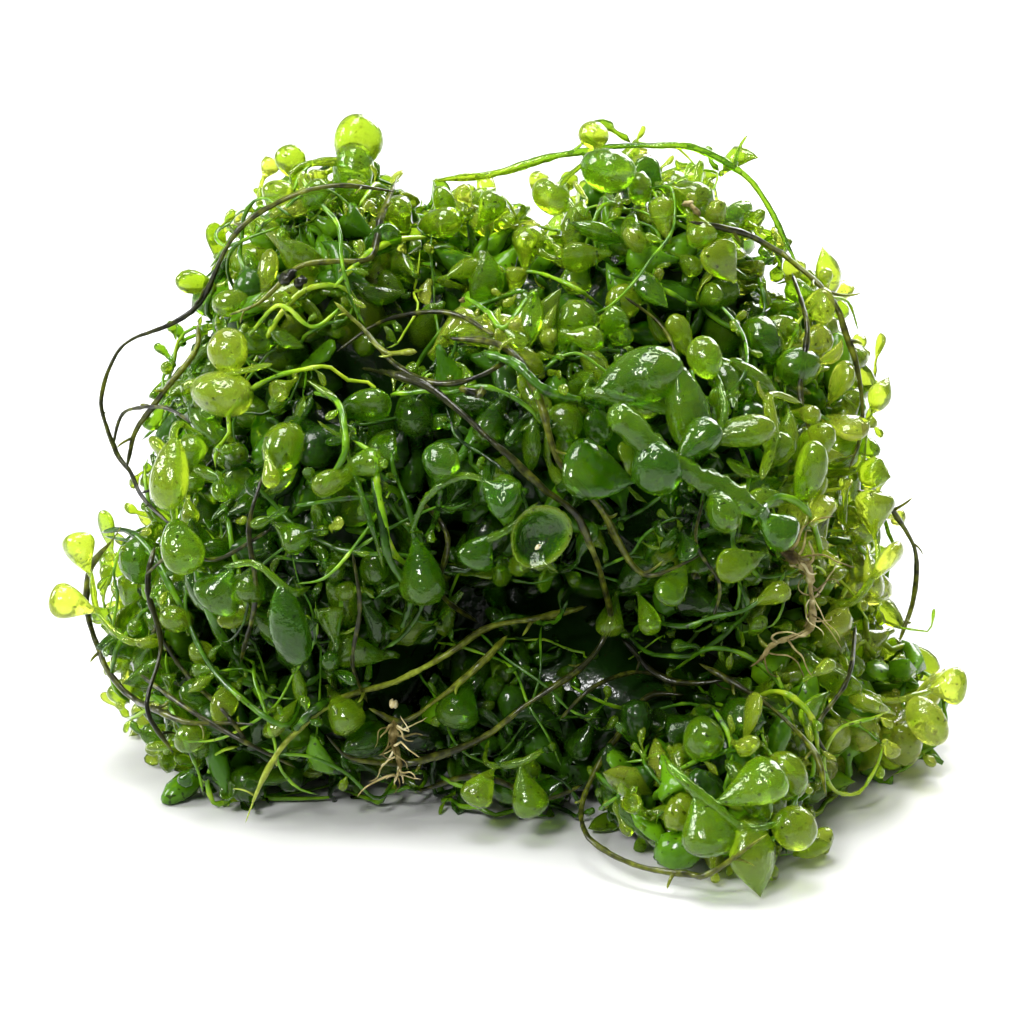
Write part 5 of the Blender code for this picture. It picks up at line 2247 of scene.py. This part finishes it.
@dataclass(frozen=True)
class Heap:
    """The whole handful, piece by piece.

    Attributes:
        surface: The tufts' surface.
        materials: The materials.
    """

    surface: Surface
    materials: Materials

    def build(self) -> None:
        """Builds all pieces in order."""
        self.build_tufts(np.random.default_rng(23))
        rng = np.random.default_rng(11)
        self.build_fronds(rng)
        self.build_runners(rng)
        self.build_roots(rng)
        self.build_thin_runners(rng)
        self.build_crumbs(rng)

    def obstacles(self, grapes: list[Grape]) -> Array:
        """Finds what the heap's own bladders keep clear of.

        Args:
            grapes: The bladders that stand out on the front.

        Returns:
            Places with the radius of each, (n, 4).
        """
        rows = [item.clearance() for item in (*FRONDS.values(), *grapes)]
        for name in (*RUNNERS, *GREEN_RUNNERS, *ROOTS):
            path, radius = centreline(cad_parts[name], 1.6 * MM)
            rows.append(np.column_stack([path, np.full(len(path), radius + 0.4 * MM)]))
        return np.concatenate(rows)

    def build_tufts(self, rng: Rng) -> None:
        """Builds the tufts' bladders and stems, with the bladders that stand out on the front.

        Args:
            rng: Random source.
        """
        surface, made = self.surface, self.materials
        grapes = seen_grapes(surface)
        batches = Undergrowth(surface, self.obstacles(grapes)).build()
        for grape in grapes:
            owner = surface.nearest(np.array([grape.foot]) * MM)[3][0]
            batches[owner].append(grape.tubes(rng, 0.4 * MM))
        for number, name in enumerate(surface.tufts):
            piece = Piece("bladders_" + name.removeprefix("tuft_"), batches[number])
            piece.build((made.flesh, made.shaded, made.stem), "tuft_flesh", (name,))

    def build_fronds(self, rng: Rng) -> None:
        """Builds the fronds' stalks and large bladders."""
        for name, frond in FRONDS.items():
            frond.piece("large_" + name, rng).build((self.materials.large,), "frond_flesh", (name,))

    def build_runners(self, rng: Rng) -> None:
        """Builds the old runners and then the green ones."""
        for group, finish in ((RUNNERS, self.materials.bark), (GREEN_RUNNERS, self.materials.large)):
            for name, runner in group.items():
                piece = runner.piece("skin_" + name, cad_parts[name], rng)
                piece.build((finish,), "runner_stem", (name,))

    def build_roots(self, rng: Rng) -> None:
        """Builds the roots with their rootlets."""
        for name, root in ROOTS.items():
            piece = root.piece("fibre_" + name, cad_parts[name], rng)
            piece.build((self.materials.fibre,), "root", (name,))

    def build_thin_runners(self, rng: Rng) -> None:
        """Builds the runners that are too thin for solids, all in one piece."""
        strands = Strands(self.surface, radii=(0.24 * MM, 0.36 * MM))
        thin = strands.tubes(strands.placed(SEEN_THIN_RUNNERS), rng)
        thin.ripeness = 0.24 + 0.1 * rng.normal(size=thin.ripeness.shape)
        thin.finish = 0
        Piece("thin_runners", [thin]).build((self.materials.bark,), "runner_stem")

    def build_crumbs(self, rng: Rng) -> None:
        """Builds the dark dirt and the pale dirt."""
        dark = DARK_CRUMBS.piece("crumbs_dark", self.surface, rng)
        dark.build((self.materials.bark,), "runner_stem")
        pale = PALE_CRUMBS.piece("crumbs_pale", self.surface, rng)
        pale.build((self.materials.fibre,), "root")


def corners(box: tuple[Vector, Vector]) -> list[list[float]]:
    """Gives a box's two corners as plain lists."""
    return [list(corner) for corner in box]


def main() -> None:
    """Builds the studio and then the heap's pieces in order."""
    logging.basicConfig(level=logging.INFO, format="%(message)s")
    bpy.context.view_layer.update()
    Studio().build()
    materials = Materials.build()
    tufts = sorted(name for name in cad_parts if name.startswith("tuft_"))
    Heap(Surface.read(tufts), materials).build()
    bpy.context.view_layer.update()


if __name__ == "__main__":
    main()
